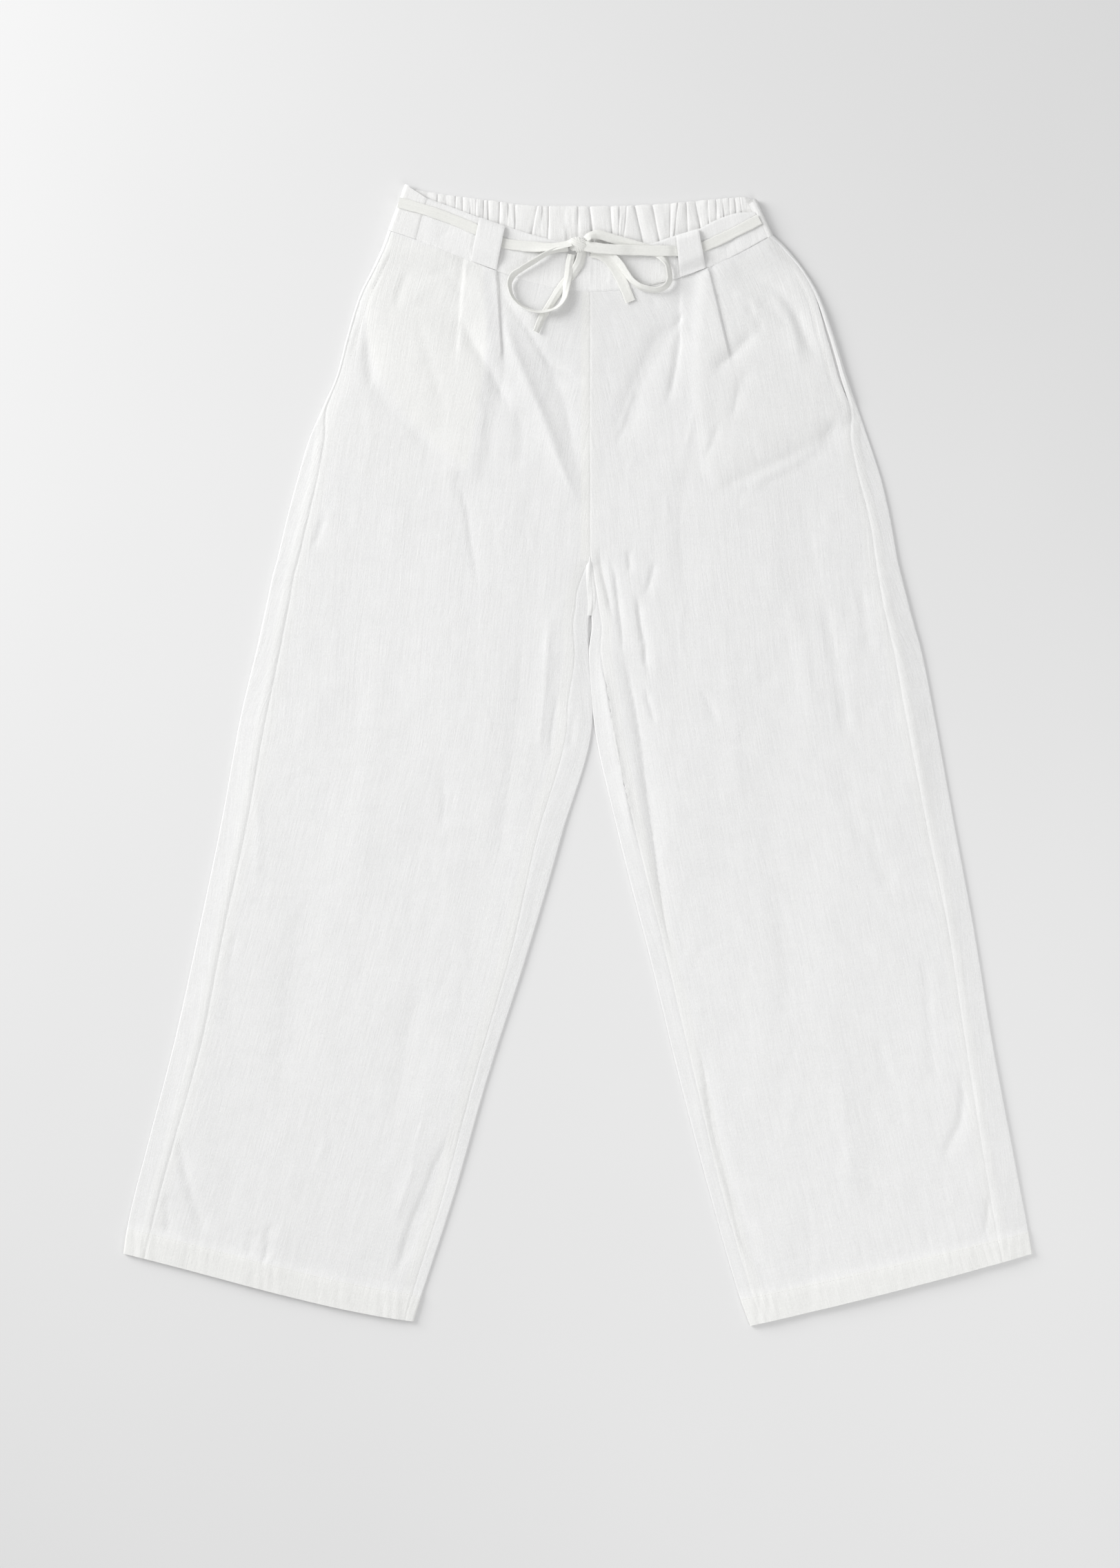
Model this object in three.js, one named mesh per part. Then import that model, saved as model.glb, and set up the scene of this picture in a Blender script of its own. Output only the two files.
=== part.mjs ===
// Wide-leg trousers with a flat faced front waistband, an elasticated back waistband, belt loops and a
// narrow tie belt, laid flat on a surface with the front up. Millimetres, +Z up, +Y towards the waist.
// "right" and "left" are the wearer's: the right leg lies on the -X side.
import * as THREE from "three";
import { mergeVertices } from "three/addons/utils/BufferGeometryUtils.js";

// Cloth and seams
const CLOTH = 1.2; // wall of a panel
const SEAM_GAP = 0.3; // between two sewn pieces
const HOLLOW = 1.4; // air between the back and the front where they lie flat
const LOWER = CLOTH / 2; // middle of the wall that rests on the surface
const UPPER = LOWER + CLOTH + HOLLOW; // middle of the front wall where it lies flat
const HEM_TURN = 0.8; // turned-up hem, added inside the wall
const HEM_LIFT = 1.4; // how far the hem's extra layers raise the front
const ARC_STEPS = 4; // faces round a folded edge
const UNDERSIDE_TOP = 1.2; // the middle of the resting wall stays below this

// Waistband, loops, pockets and tie belt
const BAND_CLOTH = 1.8; // two layers and their facing
const WAIST_LIFT = 2.1; // the front lies on the elasticated band here
const WAIST_LIFT_FROM = 440;
const WAIST_LIFT_TO = 464;
const ELASTIC_CLOTH = 2.0; // casing between two gathers
const GATHER_RISE = 2.2; // a gather's crest above the casing
const LOOP_CLOTH = 1.4;
const LOOP_ARCH = 2.7; // room for the tie under a loop
const BAG_CLOTH = 0.9;
const BAG_LIFT = 1.1;
const BAG_EDGE = 14; // how softly the front falls off a pocket bag's edge
const BAG_LEVEL = CLOTH + 0.8; // middle of a pocket bag
const SEAM_STEPS = 24; // points that the waist seam is read at, a leg
const BAND_ROWS = [0, 0.33, 0.66, 1]; // shares of the height where the front waistband has a row
const CASING_ROWS = [0, 0.5, 1];
const GATHER_FULL = 10; // gathers narrower than this stand lower
const GATHER_CRESTS = [{ place: 0.3, rise: 1 }, { place: 0.7, rise: 0.85 }];
const LOOP_ROWS = [0, 0.12, 0.25, 0.38, 0.5, 0.62, 0.75, 0.88, 1];
const STRIP_COLUMNS = [0, 0.33, 0.67, 1]; // shares of the width where a loop or a bag has a column
const ON_SEAM = 3; // the tie feels the front waistband's edge this far below the waist seam
const OFF_SEAM = 5;
const TIE_WIDTH = 9.5;
const TIE_CLOTH = 1.5;
const TIE_STEPS = 2; // faces between two listed points

// Tucks under the belt loops
const TUCK_RISE = 1.6;
const TUCK_EDGE = 1.3; // half width of a tuck's steep side
const TUCK_RELEASE = 45; // length over which a tuck opens out below its stitching
const TUCK_RUN_ON = 1.6; // a tuck's line runs on past its stitching by this share of it
const TUCK_OPEN_FROM = 270; // the outer edge's height where the columns beside a tuck are widest apart
const TUCK_OPEN_TO = 365;
const TUCK_OPEN_HALF = 11;
const TUCK_CLUSTER = [-1, -0.3, 0.3, 1]; // columns beside a tuck, as shares of its half width
const COLUMNS_OUTSIDE = 5; // columns from the side seam to the outer tuck
const COLUMNS_INSIDE = 6; // columns from the inner tuck to the centre or the inseam
const UNDERSIDE_COLUMNS = [0, 0.25, 0.5, 0.75, 1];
const UNROLLED_MARGIN = 12; // the underside's last even column lies this far from the centre seam
const FOLD_PROBE = 1.5; // the height of a folded edge is read this far in from its wall
const BACK_RISE_FROM = 0.06; // shares of a row between which the back leaves the front's lines
const BACK_RISE_TO = 0.3;
const BAND_BAG_SHARE = 0.3; // how much of a bag's height shows through the waistband

const COLOURS = {
  linen: 0xf0eee9,
  band: 0xf1efe8,
  tie: 0xf3f1ea,
};

// Each leg from the hem up: outline points at its outer and inner edges, how far the side seam and the
// inseam lie in from those edges on the front face, how open the pocket mouth is, whether the back still
// rolls round the inner edge, how much the row bows down, and how far the back's row rises at its inner end.
const LEG_COLUMNS = [
  "outerX", "outerY", "innerX", "innerY", "side", "inseam", "mouth", "roll", "bow", "backRise",
];
const RIGHT_LEG = [
  [-415.0, -453.5, -150.0, -515.5, 20, 8, 0, 1, -4, 0],
  [-411.5, -430.0, -142.5, -491.5, 22, 9, 0, 1, -4, 0],
  [-393.0, -355.0, -114.0, -404.5, 23, 10, 0, 1, -3, 0],
  [-367.5, -256.5, -82.5, -294.0, 25, 12, 0, 1, -2, 0],
  [-346.0, -158.5, -47.0, -183.0, 23, 15, 0, 1, -1, 0],
  [-325.5, -59.5, -14.5, -72.0, 24, 22, 0, 1, 0, 0],
  [-307.5, 38.5, 12.0, 38.5, 24, 23, 0, 1, 0, 0],
  [-293.5, 97.0, 8.8, 95.5, 22, 13, 0, 1, 0, 0],
  [-283.5, 142.5, 10.6, 142.5, 21, 14, 0, 1, 0, 0],
  [-278.0, 168.0, 10.9, 168.0, 20, 7, 0, 1, 0, 0],
  [-275.0, 178.0, 10.95, 178.0, 20, 0.15, 0, 0, 0, 0],
  [-267.0, 212.0, 10.95, 212.0, 20, 0.15, 0, 0, 0, 0],
  [-257.0, 250.0, 10.95, 250.0, 19, 0.15, 0, 0, 0, 0],
  [-246.0, 287.5, 10.95, 287.5, 15, 0.15, 0, 0, 0, 0],
  [-232.0, 320.5, 10.95, 319.0, 4, 0.15, 0, 0, 0, 3],
  [-220.5, 347.0, 10.95, 341.0, 3, 0.15, 0, 0, -1, 8],
  [-211.0, 383.0, 10.95, 364.0, 3, 0.15, 0, 0, -2, 16],
  [-199.5, 420.5, 10.95, 388.0, 3, 0.15, 0, 0, -4, 25],
  [-187.5, 445.0, 10.95, 403.0, 3, 0.15, 0, 0, -5.5, 31],
  [-177.5, 467.5, 10.95, 416.5, 3, 0.15, 0, 0, -7, 35],
  [-173.5, 479.5, 10.95, 424.0, 3, 0.15, 0, 0, -7.5, 37],
];
const LEFT_LEG = [
  [415.0, -453.5, 157.0, -519.5, 29, 12, 0, 1, -2, 0],
  [411.5, -433.5, 148.0, -495.0, 29, 12, 0, 1, -2, 0],
  [398.0, -362.5, 122.0, -405.0, 28, 11, 0, 1, -1, 0],
  [378.0, -256.5, 92.5, -294.0, 25, 14, 0, 1, 0, 0],
  [362.0, -158.5, 65.5, -183.0, 24, 15, 0, 1, 0, 0],
  [343.5, -59.5, 37.0, -72.0, 26, 16, 0, 1, 0, 0],
  [325.5, 38.5, 15.0, 38.5, 27, 16, 0, 1, 0, 0],
  [313.5, 98.5, 12.0, 95.5, 26, 11, 0, 1, 0, 0],
  [301.5, 142.5, 13.0, 142.5, 24, 7, 0, 1, 0, 0],
  [295.0, 168.0, 11.3, 168.0, 22, 3.5, 0, 1, 0, 0],
  [292.5, 178.0, 11.25, 178.0, 21, 0.15, 0, 0, 0, 0],
  [286.5, 212.0, 11.25, 212.0, 20, 0.15, 0, 0, 0, 0],
  [278.0, 250.0, 11.25, 250.0, 21, 0.15, 0, 0, 0, 0],
  [266.0, 287.5, 11.25, 287.5, 17, 0.15, 0, 0, 0, 0],
  [255.5, 318.0, 11.25, 319.0, 7, 0.15, 0.5, 0, 0, 3],
  [245.5, 347.0, 11.25, 341.0, 5, 0.15, 3.5, 0, -1.5, 8],
  [234.5, 382.5, 11.25, 364.0, 4, 0.15, 3.5, 0, -4, 16],
  [220.5, 420.5, 11.25, 388.0, 3.5, 0.15, 1, 0, -7, 25],
  [206.5, 444.0, 11.25, 403.0, 3, 0.15, 0, 0, -9, 31],
  [188.5, 466.0, 11.25, 416.5, 3, 0.15, 0, 0, -11.5, 35],
  [178.0, 475.5, 11.25, 424.0, 3, 0.15, 0, 0, -12.5, 37],
];
const LEG_TOP = RIGHT_LEG.length - 1;
const HEM_ROW = 1; // the row that lies on the hem's stitching
const TUCK_ROWS_FROM = 13; // the front has a row between each two from here up

// Two stitched tucks a leg, each from the waist seam to the end of its stitching.
const TUCKS = {
  right: [
    { x: -103.0, y: 452.0, endX: -109.0, endY: 374.5 },
    { x: -74.0, y: 441.0, endX: -69.5, endY: 365.5 },
  ],
  left: [
    { x: 120.0, y: 442.0, endX: 136.0, endY: 374.5 },
    { x: 95.0, y: 433.0, endX: 93.0, endY: 366.0 },
  ],
};

// The largest folds of the front: from one point to another, rise above the cloth and reach each side.
const FOLDS = [
  { x: -104, y: 406, toX: -74, toY: 340, rise: -0.8, reach: 14 },
  { x: -72, y: 400, toX: -33, toY: 313, rise: 1.2, reach: 15 },
  { x: -33, y: 313, toX: -10, toY: 250, rise: 0.8, reach: 19 },
  { x: -46, y: 388, toX: -12, toY: 344, rise: -0.7, reach: 12 },
  { x: -12, y: 344, toX: -3, toY: 285, rise: -0.6, reach: 12 },
  { x: 94, y: 398, toX: 42, toY: 308, rise: -0.8, reach: 13 },
  { x: 98, y: 378, toX: 96, toY: 322, rise: 0.8, reach: 11 },
  { x: 130, y: 441, toX: 183, toY: 422, rise: -0.8, reach: 13 },
  { x: 183, y: 422, toX: 203, toY: 376, rise: -0.8, reach: 13 },
  { x: 154, y: 381, toX: 128, toY: 356, rise: -0.6, reach: 13 },
  { x: 200, y: 438, toX: 222, toY: 385, rise: 0.7, reach: 13 },
  { x: 28, y: 152, toX: 46, toY: 60, rise: -0.7, reach: 13 },
  { x: 46, y: 60, toX: 77, toY: -128, rise: -0.7, reach: 15 },
  { x: -28, y: 136, toX: -24, toY: 50, rise: 0.7, reach: 14 },
  { x: -30, y: 20, toX: -55, toY: -135, rise: 0.8, reach: 16 },
  { x: -121, y: -340, toX: -166, toY: -468, rise: -0.8, reach: 15 },
  { x: -362, y: -335, toX: -346, toY: -435, rise: -0.6, reach: 13 },
  { x: 150, y: -440, toX: 180, toY: -495, rise: -0.7, reach: 13 },
  { x: 233, y: 160, toX: 262, toY: 60, rise: -0.6, reach: 16 },
  { x: 285, y: 95, toX: 318, toY: -90, rise: 0.7, reach: 18 },
];

// Pocket bags between the layers, from the waist down: height, outer edge and inner edge.
const POCKET_BAGS = {
  right: [
    { y: 466, outerX: -168, innerX: -135 },
    { y: 440, outerX: -181, innerX: -93 },
    { y: 407, outerX: -189, innerX: -88 },
    { y: 376, outerX: -190, innerX: -82 },
    { y: 344, outerX: -184, innerX: -80 },
    { y: 313, outerX: -167, innerX: -87 },
    { y: 287, outerX: -146, innerX: -92 },
    { y: 264, outerX: -118, innerX: -98 },
  ],
  left: [
    { y: 461, outerX: 172, innerX: 150 },
    { y: 437, outerX: 205, innerX: 118 },
    { y: 407, outerX: 220, innerX: 116 },
    { y: 376, outerX: 231, innerX: 114 },
    { y: 344, outerX: 240, innerX: 114 },
    { y: 313, outerX: 243, innerX: 116 },
    { y: 287, outerX: 220, innerX: 119 },
    { y: 264, outerX: 190, innerX: 123 },
    { y: 250, outerX: 160, innerX: 130 },
  ],
};

// Front waistband: where each station starts on the waist seam (leg and share of its row) and the top edge.
const FRONT_BAND = [
  { leg: "right", share: 0.14, topX: -137, topY: 508 },
  { leg: "right", share: 0.27, topX: -113, topY: 499.5 },
  { leg: "right", share: 0.4, topX: -90.5, topY: 491 },
  { leg: "right", share: 0.54, topX: -66.5, topY: 483 },
  { leg: "right", share: 0.7, topX: -39, topY: 474.5 },
  { leg: "right", share: 0.86, topX: -12, topY: 468 },
  { leg: "right", share: 1, topX: 10.5, topY: 466 },
  { leg: "left", share: 0.86, topX: 37, topY: 465.5 },
  { leg: "left", share: 0.7, topX: 64, topY: 467 },
  { leg: "left", share: 0.54, topX: 89, topY: 474.5 },
  { leg: "left", share: 0.4, topX: 109, topY: 480 },
  { leg: "left", share: 0.27, topX: 127, topY: 489 },
  { leg: "left", share: 0.14, topX: 146, topY: 495 },
  { leg: "left", share: 0.03, topX: 161, topY: 496 },
];

// Back waistband: its top edge from the right fold to the left fold, and on the front face its top edge
// from each fold to its seam with the front waistband.
const BACK_BAND = [
  { x: -158, y: 521.5 },
  { x: -142, y: 516 },
  { x: -108, y: 511 },
  { x: -81, y: 507.5 },
  { x: -39, y: 502.5 },
  { x: 14, y: 502 },
  { x: 65, y: 503.5 },
  { x: 125, y: 508.5 },
  { x: 152, y: 510.5 },
  { x: 163, y: 507 },
];
const BACK_BAND_FRONT_EDGE = {
  right: { foldX: -158, foldY: 521.5, seamX: -137.5, seamY: 508.3 },
  left: { foldX: 163, foldY: 507, seamX: 158.8, seamY: 505 },
};
const BACK_BAND_WRAP = { right: { top: 24.3, bottom: 27 }, left: { top: 4.8, bottom: 4.8 } };

// Valleys between the gathers of the elasticated casing: place at the top edge and at the bottom edge.
const GATHERS = [
  { topX: -133, bottomX: -139 },
  { topX: -122, bottomX: -126 },
  { topX: -111, bottomX: -113 },
  { topX: -104, bottomX: -105 },
  { topX: -97, bottomX: -99 },
  { topX: -86, bottomX: -89 },
  { topX: -80, bottomX: -82 },
  { topX: -71, bottomX: -74 },
  { topX: -61, bottomX: -62 },
  { topX: -52, bottomX: -56 },
  { topX: -38, bottomX: -46 },
  { topX: -29, bottomX: -31 },
  { topX: -19, bottomX: -18 },
  { topX: -7, bottomX: -6 },
  { topX: 2, bottomX: 2 },
  { topX: 12, bottomX: 16 },
  { topX: 23, bottomX: 23 },
  { topX: 31, bottomX: 33 },
  { topX: 40, bottomX: 45 },
  { topX: 54, bottomX: 62 },
  { topX: 64, bottomX: 73 },
  { topX: 73, bottomX: 78 },
  { topX: 84, bottomX: 84 },
  { topX: 91, bottomX: 89 },
  { topX: 97, bottomX: 101 },
  { topX: 109, bottomX: 114 },
  { topX: 117, bottomX: 121 },
  { topX: 125, bottomX: 129 },
  { topX: 132, bottomX: 138 },
  { topX: 141, bottomX: 147 },
];

// Belt loops: where their sides meet the waist seam, as shares of the row, and their corners at the top edge.
const LOOPS = {
  right: { share: 0.41, toShare: 0.537, topX: -89.5, topY: 490.5, toTopX: -66.5, toTopY: 482.5 },
  left: { share: 0.37, toShare: 0.51, topX: 109.5, topY: 480, toTopX: 89.5, toTopY: 474 },
};

const KNOT = { x: 0, y: 465.5, acrossX: 11.5, acrossY: 12, height: 7.5, rise: 0.4 };

// The tie belt's pieces, each a list of points on its middle line: how far its lower edge stands above the
// cloth, and how far the strip is turned on its edge, in degrees.
const TIE = {
  tie_strand_right: [
    { x: -163.5, y: 504.5, rise: 0.3, turn: 0 },
    { x: -137, y: 497, rise: 0.3, turn: 0 },
    { x: -113, y: 488.5, rise: 0.3, turn: 0 },
    { x: -92, y: 479.5, rise: 0.3, turn: 0 },
    { x: -80, y: 474.5, rise: 0.3, turn: 0 },
    { x: -66, y: 470, rise: 0.3, turn: 0 },
    { x: -45, y: 467, rise: 0.5, turn: 0 },
    { x: -24, y: 466, rise: 1.0, turn: 8 },
    { x: -6.2, y: 466.5, rise: 1.6, turn: 10 },
  ],
  tie_strand_left: [
    { x: 6.2, y: 464, rise: 4.2, turn: 4 },
    { x: 24, y: 461.5, rise: 4.6, turn: 0 },
    { x: 38, y: 460.7, rise: 4.2, turn: 0 },
    { x: 52, y: 460.5, rise: 2.6, turn: 0 },
    { x: 72, y: 460, rise: 2.4, turn: 0 },
    { x: 82, y: 460, rise: 2.3, turn: 0 },
    { x: 89, y: 460, rise: 0.9, turn: 0 },
    { x: 95, y: 460.3, rise: 0.3, turn: 0 },
    { x: 103, y: 461.3, rise: 0.3, turn: 0 },
    { x: 116, y: 465, rise: 0.3, turn: 0 },
    { x: 135, y: 473.5, rise: 0.3, turn: 0 },
    { x: 152, y: 482, rise: 0.3, turn: 0 },
    { x: 165.5, y: 489, rise: 0.3, turn: 0 },
  ],
  tie_ear_right: [
    { x: -8, y: 460, rise: 1.6, turn: 60 },
    { x: -18, y: 459, rise: 0.3, turn: 72 },
    { x: -31.5, y: 456.5, rise: 0.3, turn: 76 },
    { x: -45, y: 448, rise: 0.3, turn: 72 },
    { x: -56, y: 440, rise: 0.3, turn: 62 },
    { x: -61.5, y: 433, rise: 0.3, turn: 60 },
    { x: -61.7, y: 424.5, rise: 0.3, turn: 64 },
    { x: -54.8, y: 413.6, rise: 0.3, turn: 68 },
    { x: -43.5, y: 406.5, rise: 1.8, turn: 66 },
    { x: -29, y: 404.8, rise: 3.4, turn: 60 },
    { x: -17.6, y: 410.4, rise: 1.8, turn: 62 },
    { x: -11.3, y: 418.4, rise: 1.0, turn: 64 },
    { x: -8.8, y: 430.6, rise: 3.2, turn: 60 },
    { x: -9.2, y: 443, rise: 3.2, turn: 60 },
    { x: -6.5, y: 454, rise: 3.0, turn: 56 },
  ],
  tie_tail_right: [
    { x: 2.5, y: 457.5, rise: 0.3, turn: 6 },
    { x: 0, y: 450.8, rise: 0.3, turn: 4 },
    { x: -6.9, y: 440, rise: 0.3, turn: 0 },
    { x: -14.5, y: 428.5, rise: 0.3, turn: 0 },
    { x: -22.5, y: 417, rise: 0.3, turn: 0 },
    { x: -29, y: 405.5, rise: 0.3, turn: 0 },
    { x: -33.5, y: 396, rise: 0.3, turn: 10 },
    { x: -37.8, y: 386, rise: 0.3, turn: 20 },
  ],
  tie_ear_left: [
    { x: 8, y: 471.4, rise: 1.5, turn: 70 },
    { x: 13, y: 474, rise: 0.8, turn: 70 },
    { x: 19, y: 473, rise: 0.3, turn: 40 },
    { x: 34, y: 468, rise: 0.3, turn: 3 },
    { x: 51, y: 465.5, rise: 0.3, turn: 0 },
    { x: 66, y: 461.5, rise: 0.3, turn: 0 },
    { x: 76, y: 455.5, rise: 0.3, turn: 0 },
    { x: 82.5, y: 446, rise: 0.3, turn: 40 },
    { x: 84.4, y: 435, rise: 0.3, turn: 66 },
    { x: 80, y: 427.5, rise: 0.3, turn: 70 },
    { x: 70.6, y: 424.3, rise: 0.3, turn: 72 },
    { x: 57.5, y: 427, rise: 0.3, turn: 70 },
    { x: 48.5, y: 433.5, rise: 0.3, turn: 66 },
    { x: 43, y: 441, rise: 1.0, turn: 50 },
    { x: 36, y: 450.5, rise: 1.9, turn: 8 },
    { x: 26, y: 457.5, rise: 2.1, turn: 0 },
    { x: 12, y: 461.5, rise: 2.1, turn: 0 },
  ],
  tie_tail_left: [
    { x: 10, y: 458.5, rise: 0.3, turn: 0 },
    { x: 18, y: 455.5, rise: 0.3, turn: 0 },
    { x: 26, y: 449, rise: 0.3, turn: 0 },
    { x: 35.3, y: 437, rise: 0.3, turn: 0 },
    { x: 42.5, y: 425, rise: 0.3, turn: 0 },
    { x: 47.5, y: 414.5, rise: 0.3, turn: 4 },
  ],
};

const MATERIALS = {
  linen: new THREE.MeshStandardMaterial({ color: COLOURS.linen, roughness: 0.9, metalness: 0 }),
  band: new THREE.MeshStandardMaterial({ color: COLOURS.band, roughness: 0.9, metalness: 0 }),
  tie: new THREE.MeshStandardMaterial({ color: COLOURS.tie, roughness: 0.88, metalness: 0 }),
};

const LEGS = { right: RIGHT_LEG, left: LEFT_LEG };
const SIDES = ["right", "left"];

function lerp(a, b, t) {
  return a + (b - a) * t;
}

function smooth(from, to, value) {
  const t = THREE.MathUtils.clamp((value - from) / (to - from), 0, 1);
  return t * t * (3 - 2 * t);
}

// One row of a leg at any height between two listed rows.
function legRow(side, v) {
  const table = LEGS[side];
  const below = Math.min(Math.floor(v), LEG_TOP - 1);
  const t = v - below;
  const row = { leg: side, v };
  LEG_COLUMNS.forEach((name, column) => {
    row[name] = lerp(table[below][column], table[below + 1][column], t);
  });
  row.length = Math.hypot(row.innerX - row.outerX, row.innerY - row.outerY);
  return row;
}

// How a row's bow spreads along it: the right leg's sags most past its middle, the left leg's evenly.
const BOW_SHAPES = {
  right: (share) => 6.75 * share * share * (1 - share),
  left: (share) => 4 * share * (1 - share),
};

// A point on a row, a distance in from the outer edge; the back's rows rise towards the centre.
function rowPoint(row, distance, isBack = false) {
  const share = distance / row.length;
  const bow = row.bow * BOW_SHAPES[row.leg](share);
  const rise = isBack ? row.backRise * share - bow : 0;
  return {
    x: lerp(row.outerX, row.innerX, share),
    y: lerp(row.outerY, row.innerY, share) + bow + rise,
  };
}

function distanceToLine(x, y, line) {
  const dx = line.toX - line.x;
  const dy = line.toY - line.y;
  const t = THREE.MathUtils.clamp(((x - line.x) * dx + (y - line.y) * dy) / (dx * dx + dy * dy), 0, 1);
  return Math.hypot(x - line.x - dx * t, y - line.y - dy * t);
}

function foldRise(x, y) {
  let rise = 0;
  for (const fold of FOLDS) {
    const share = distanceToLine(x, y, fold) / fold.reach;
    if (share < 1) rise += fold.rise * (1 - share * share) ** 2;
  }
  return rise;
}

// The front stands a little higher over a pocket bag and falls off softly round it.
function bagRise(x, y) {
  const bag = POCKET_BAGS[x < 0 ? "right" : "left"];
  const last = bag.length - 1;
  const bottom = bag[last].y;
  if (y < bottom - BAG_EDGE) return 0;
  let above = 0;
  while (above < last - 1 && bag[above + 1].y > y) above += 1;
  const [upper, lower] = [bag[above], bag[above + 1]];
  const t = THREE.MathUtils.clamp((upper.y - y) / (upper.y - lower.y), 0, 1);
  const outer = lerp(upper.outerX, lower.outerX, t);
  const inner = lerp(upper.innerX, lower.innerX, t);
  const inside = Math.abs(outer - inner) / 2 + BAG_EDGE - Math.abs(x - (outer + inner) / 2);
  return BAG_LIFT * smooth(0, BAG_EDGE, inside) * smooth(bottom - BAG_EDGE, bottom, y);
}

// Signed distance from a tuck's line (plus towards the space between the two tucks) and how open it is there.
function tuckRise(side, x, y) {
  const [outer, inner] = TUCKS[side];
  const towardsCentre = side === "right" ? 1 : -1;
  const lineX = (tuck) => {
    const t = (tuck.y - y) / (tuck.y - tuck.endY);
    return lerp(tuck.x, tuck.endX, Math.min(t, TUCK_RUN_ON));
  };
  const fromOuter = (x - lineX(outer)) * towardsCentre;
  const fromInner = (lineX(inner) - x) * towardsCentre;
  const end = (outer.endY + inner.endY) / 2;
  const held = smooth(end - TUCK_RELEASE, end + 8, y);
  const width = lerp(TUCK_EDGE * 9, TUCK_EDGE, smooth(end - TUCK_RELEASE * 0.6, end, y));
  return TUCK_RISE * held * smooth(-width, width, fromOuter) * smooth(-width, width, fromInner);
}

// Height of the middle of the upper layer.
function upperLevel(side, x, y, v) {
  const hem = HEM_LIFT * (1 - smooth(HEM_ROW - 0.15, HEM_ROW + 0.25, v));
  return UPPER + hem + WAIST_LIFT * smooth(WAIST_LIFT_FROM, WAIST_LIFT_TO, y)
    + foldRise(x, y) + bagRise(x, y) + tuckRise(side, x, y);
}

function bandLevel(side, x, y) {
  return UPPER + WAIST_LIFT * smooth(WAIST_LIFT_FROM, WAIST_LIFT_TO, y) + (BAND_CLOTH - CLOTH) / 2
    + bagRise(x, y) * BAND_BAG_SHARE;
}

// A closed wall from rows of points on its middle, each with its depth outwards and inwards.
function wallGeometry(rows) {
  const count = rows.length;
  const width = rows[0].length;
  const outside = [];
  const inside = [];
  const across = new THREE.Vector3();
  const along = new THREE.Vector3();
  for (let r = 0; r < count; r += 1) {
    for (let c = 0; c < width; c += 1) {
      const here = rows[r][c];
      across.subVectors(rows[r][Math.min(c + 1, width - 1)].at, rows[r][Math.max(c - 1, 0)].at);
      along.subVectors(rows[Math.min(r + 1, count - 1)][c].at, rows[Math.max(r - 1, 0)][c].at);
      const normal = new THREE.Vector3().crossVectors(across, along).normalize();
      if (here.flip) normal.negate();
      const out = here.at.clone().addScaledVector(normal, here.out);
      const back = here.at.clone().addScaledVector(normal, -here.in);
      out.z = Math.max(out.z, 0);
      outside.push(out);
      inside.push(back);
    }
  }
  return closeWall(outside, inside, count, width);
}

function closeWall(outside, inside, count, width) {
  const points = [...outside, ...inside];
  const shift = outside.length;
  const index = [];
  const quad = (a, b, c, d) => index.push(a, b, c, a, c, d);
  for (let r = 0; r < count - 1; r += 1) {
    for (let c = 0; c < width - 1; c += 1) {
      const a = r * width + c;
      quad(a, a + 1, a + width + 1, a + width);
      quad(shift + a, shift + a + width, shift + a + width + 1, shift + a + 1);
    }
  }
  for (let c = 0; c < width - 1; c += 1) {
    const last = (count - 1) * width + c;
    quad(c + 1, c, shift + c, shift + c + 1);
    quad(last, last + 1, shift + last + 1, shift + last);
  }
  for (let r = 0; r < count - 1; r += 1) {
    const first = r * width;
    const last = first + width - 1;
    quad(first, first + width, shift + first + width, shift + first);
    quad(last + width, last, shift + last, shift + last + width);
  }
  const geometry = new THREE.BufferGeometry();
  geometry.setAttribute("position", new THREE.Float32BufferAttribute(points.flatMap((p) => [p.x, p.y, p.z]), 3));
  geometry.setIndex(index);
  if (signedVolume(geometry) < 0) {
    for (let i = 0; i < index.length; i += 3) [index[i + 1], index[i + 2]] = [index[i + 2], index[i + 1]];
    geometry.setIndex(index);
  }
  geometry.computeVertexNormals();
  return geometry;
}

function signedVolume(geometry) {
  const at = geometry.attributes.position;
  const index = geometry.index.array;
  const [a, b, c] = [new THREE.Vector3(), new THREE.Vector3(), new THREE.Vector3()];
  let volume = 0;
  for (let i = 0; i < index.length; i += 3) {
    a.fromBufferAttribute(at, index[i]);
    b.fromBufferAttribute(at, index[i + 1]);
    c.fromBufferAttribute(at, index[i + 2]);
    volume += a.dot(b.cross(c)) / 6;
  }
  return volume;
}

// Rows where the legs are cut across: every listed one, and one more between where the tucks are.
function rowHeights(extraFrom = LEG_TOP) {
  const heights = [0, HEM_ROW - 0.12, HEM_ROW + 0.25];
  for (let v = HEM_ROW + 1; v <= LEG_TOP; v += 1) {
    if (v > extraFrom) heights.push(v - 0.5);
    heights.push(v);
  }
  return heights;
}

// The outer edge of a leg: radius and centre of the fold, and the side seam just past it.
function outerFold(side, row) {
  const near = rowPoint(row, CLOTH / 2 + FOLD_PROBE);
  const radius = (upperLevel(side, near.x, near.y, row.v) - LOWER) / 2;
  const centre = CLOTH / 2 + radius;
  return { radius, centre, seam: Math.max(row.side - SEAM_GAP / 2, centre + 0.4) };
}

// The back's rows leave the front's once past the fold, and rise towards the centre seam.
function backPoint(row, distance) {
  const onFront = rowPoint(row, distance);
  const onBack = rowPoint(row, distance, true);
  const share = smooth(BACK_RISE_FROM, BACK_RISE_TO, distance / row.length);
  return { x: onFront.x, y: lerp(onFront.y, onBack.y, share) };
}

function hemDepth(v) {
  return v < HEM_ROW ? HEM_TURN : 0;
}

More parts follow.
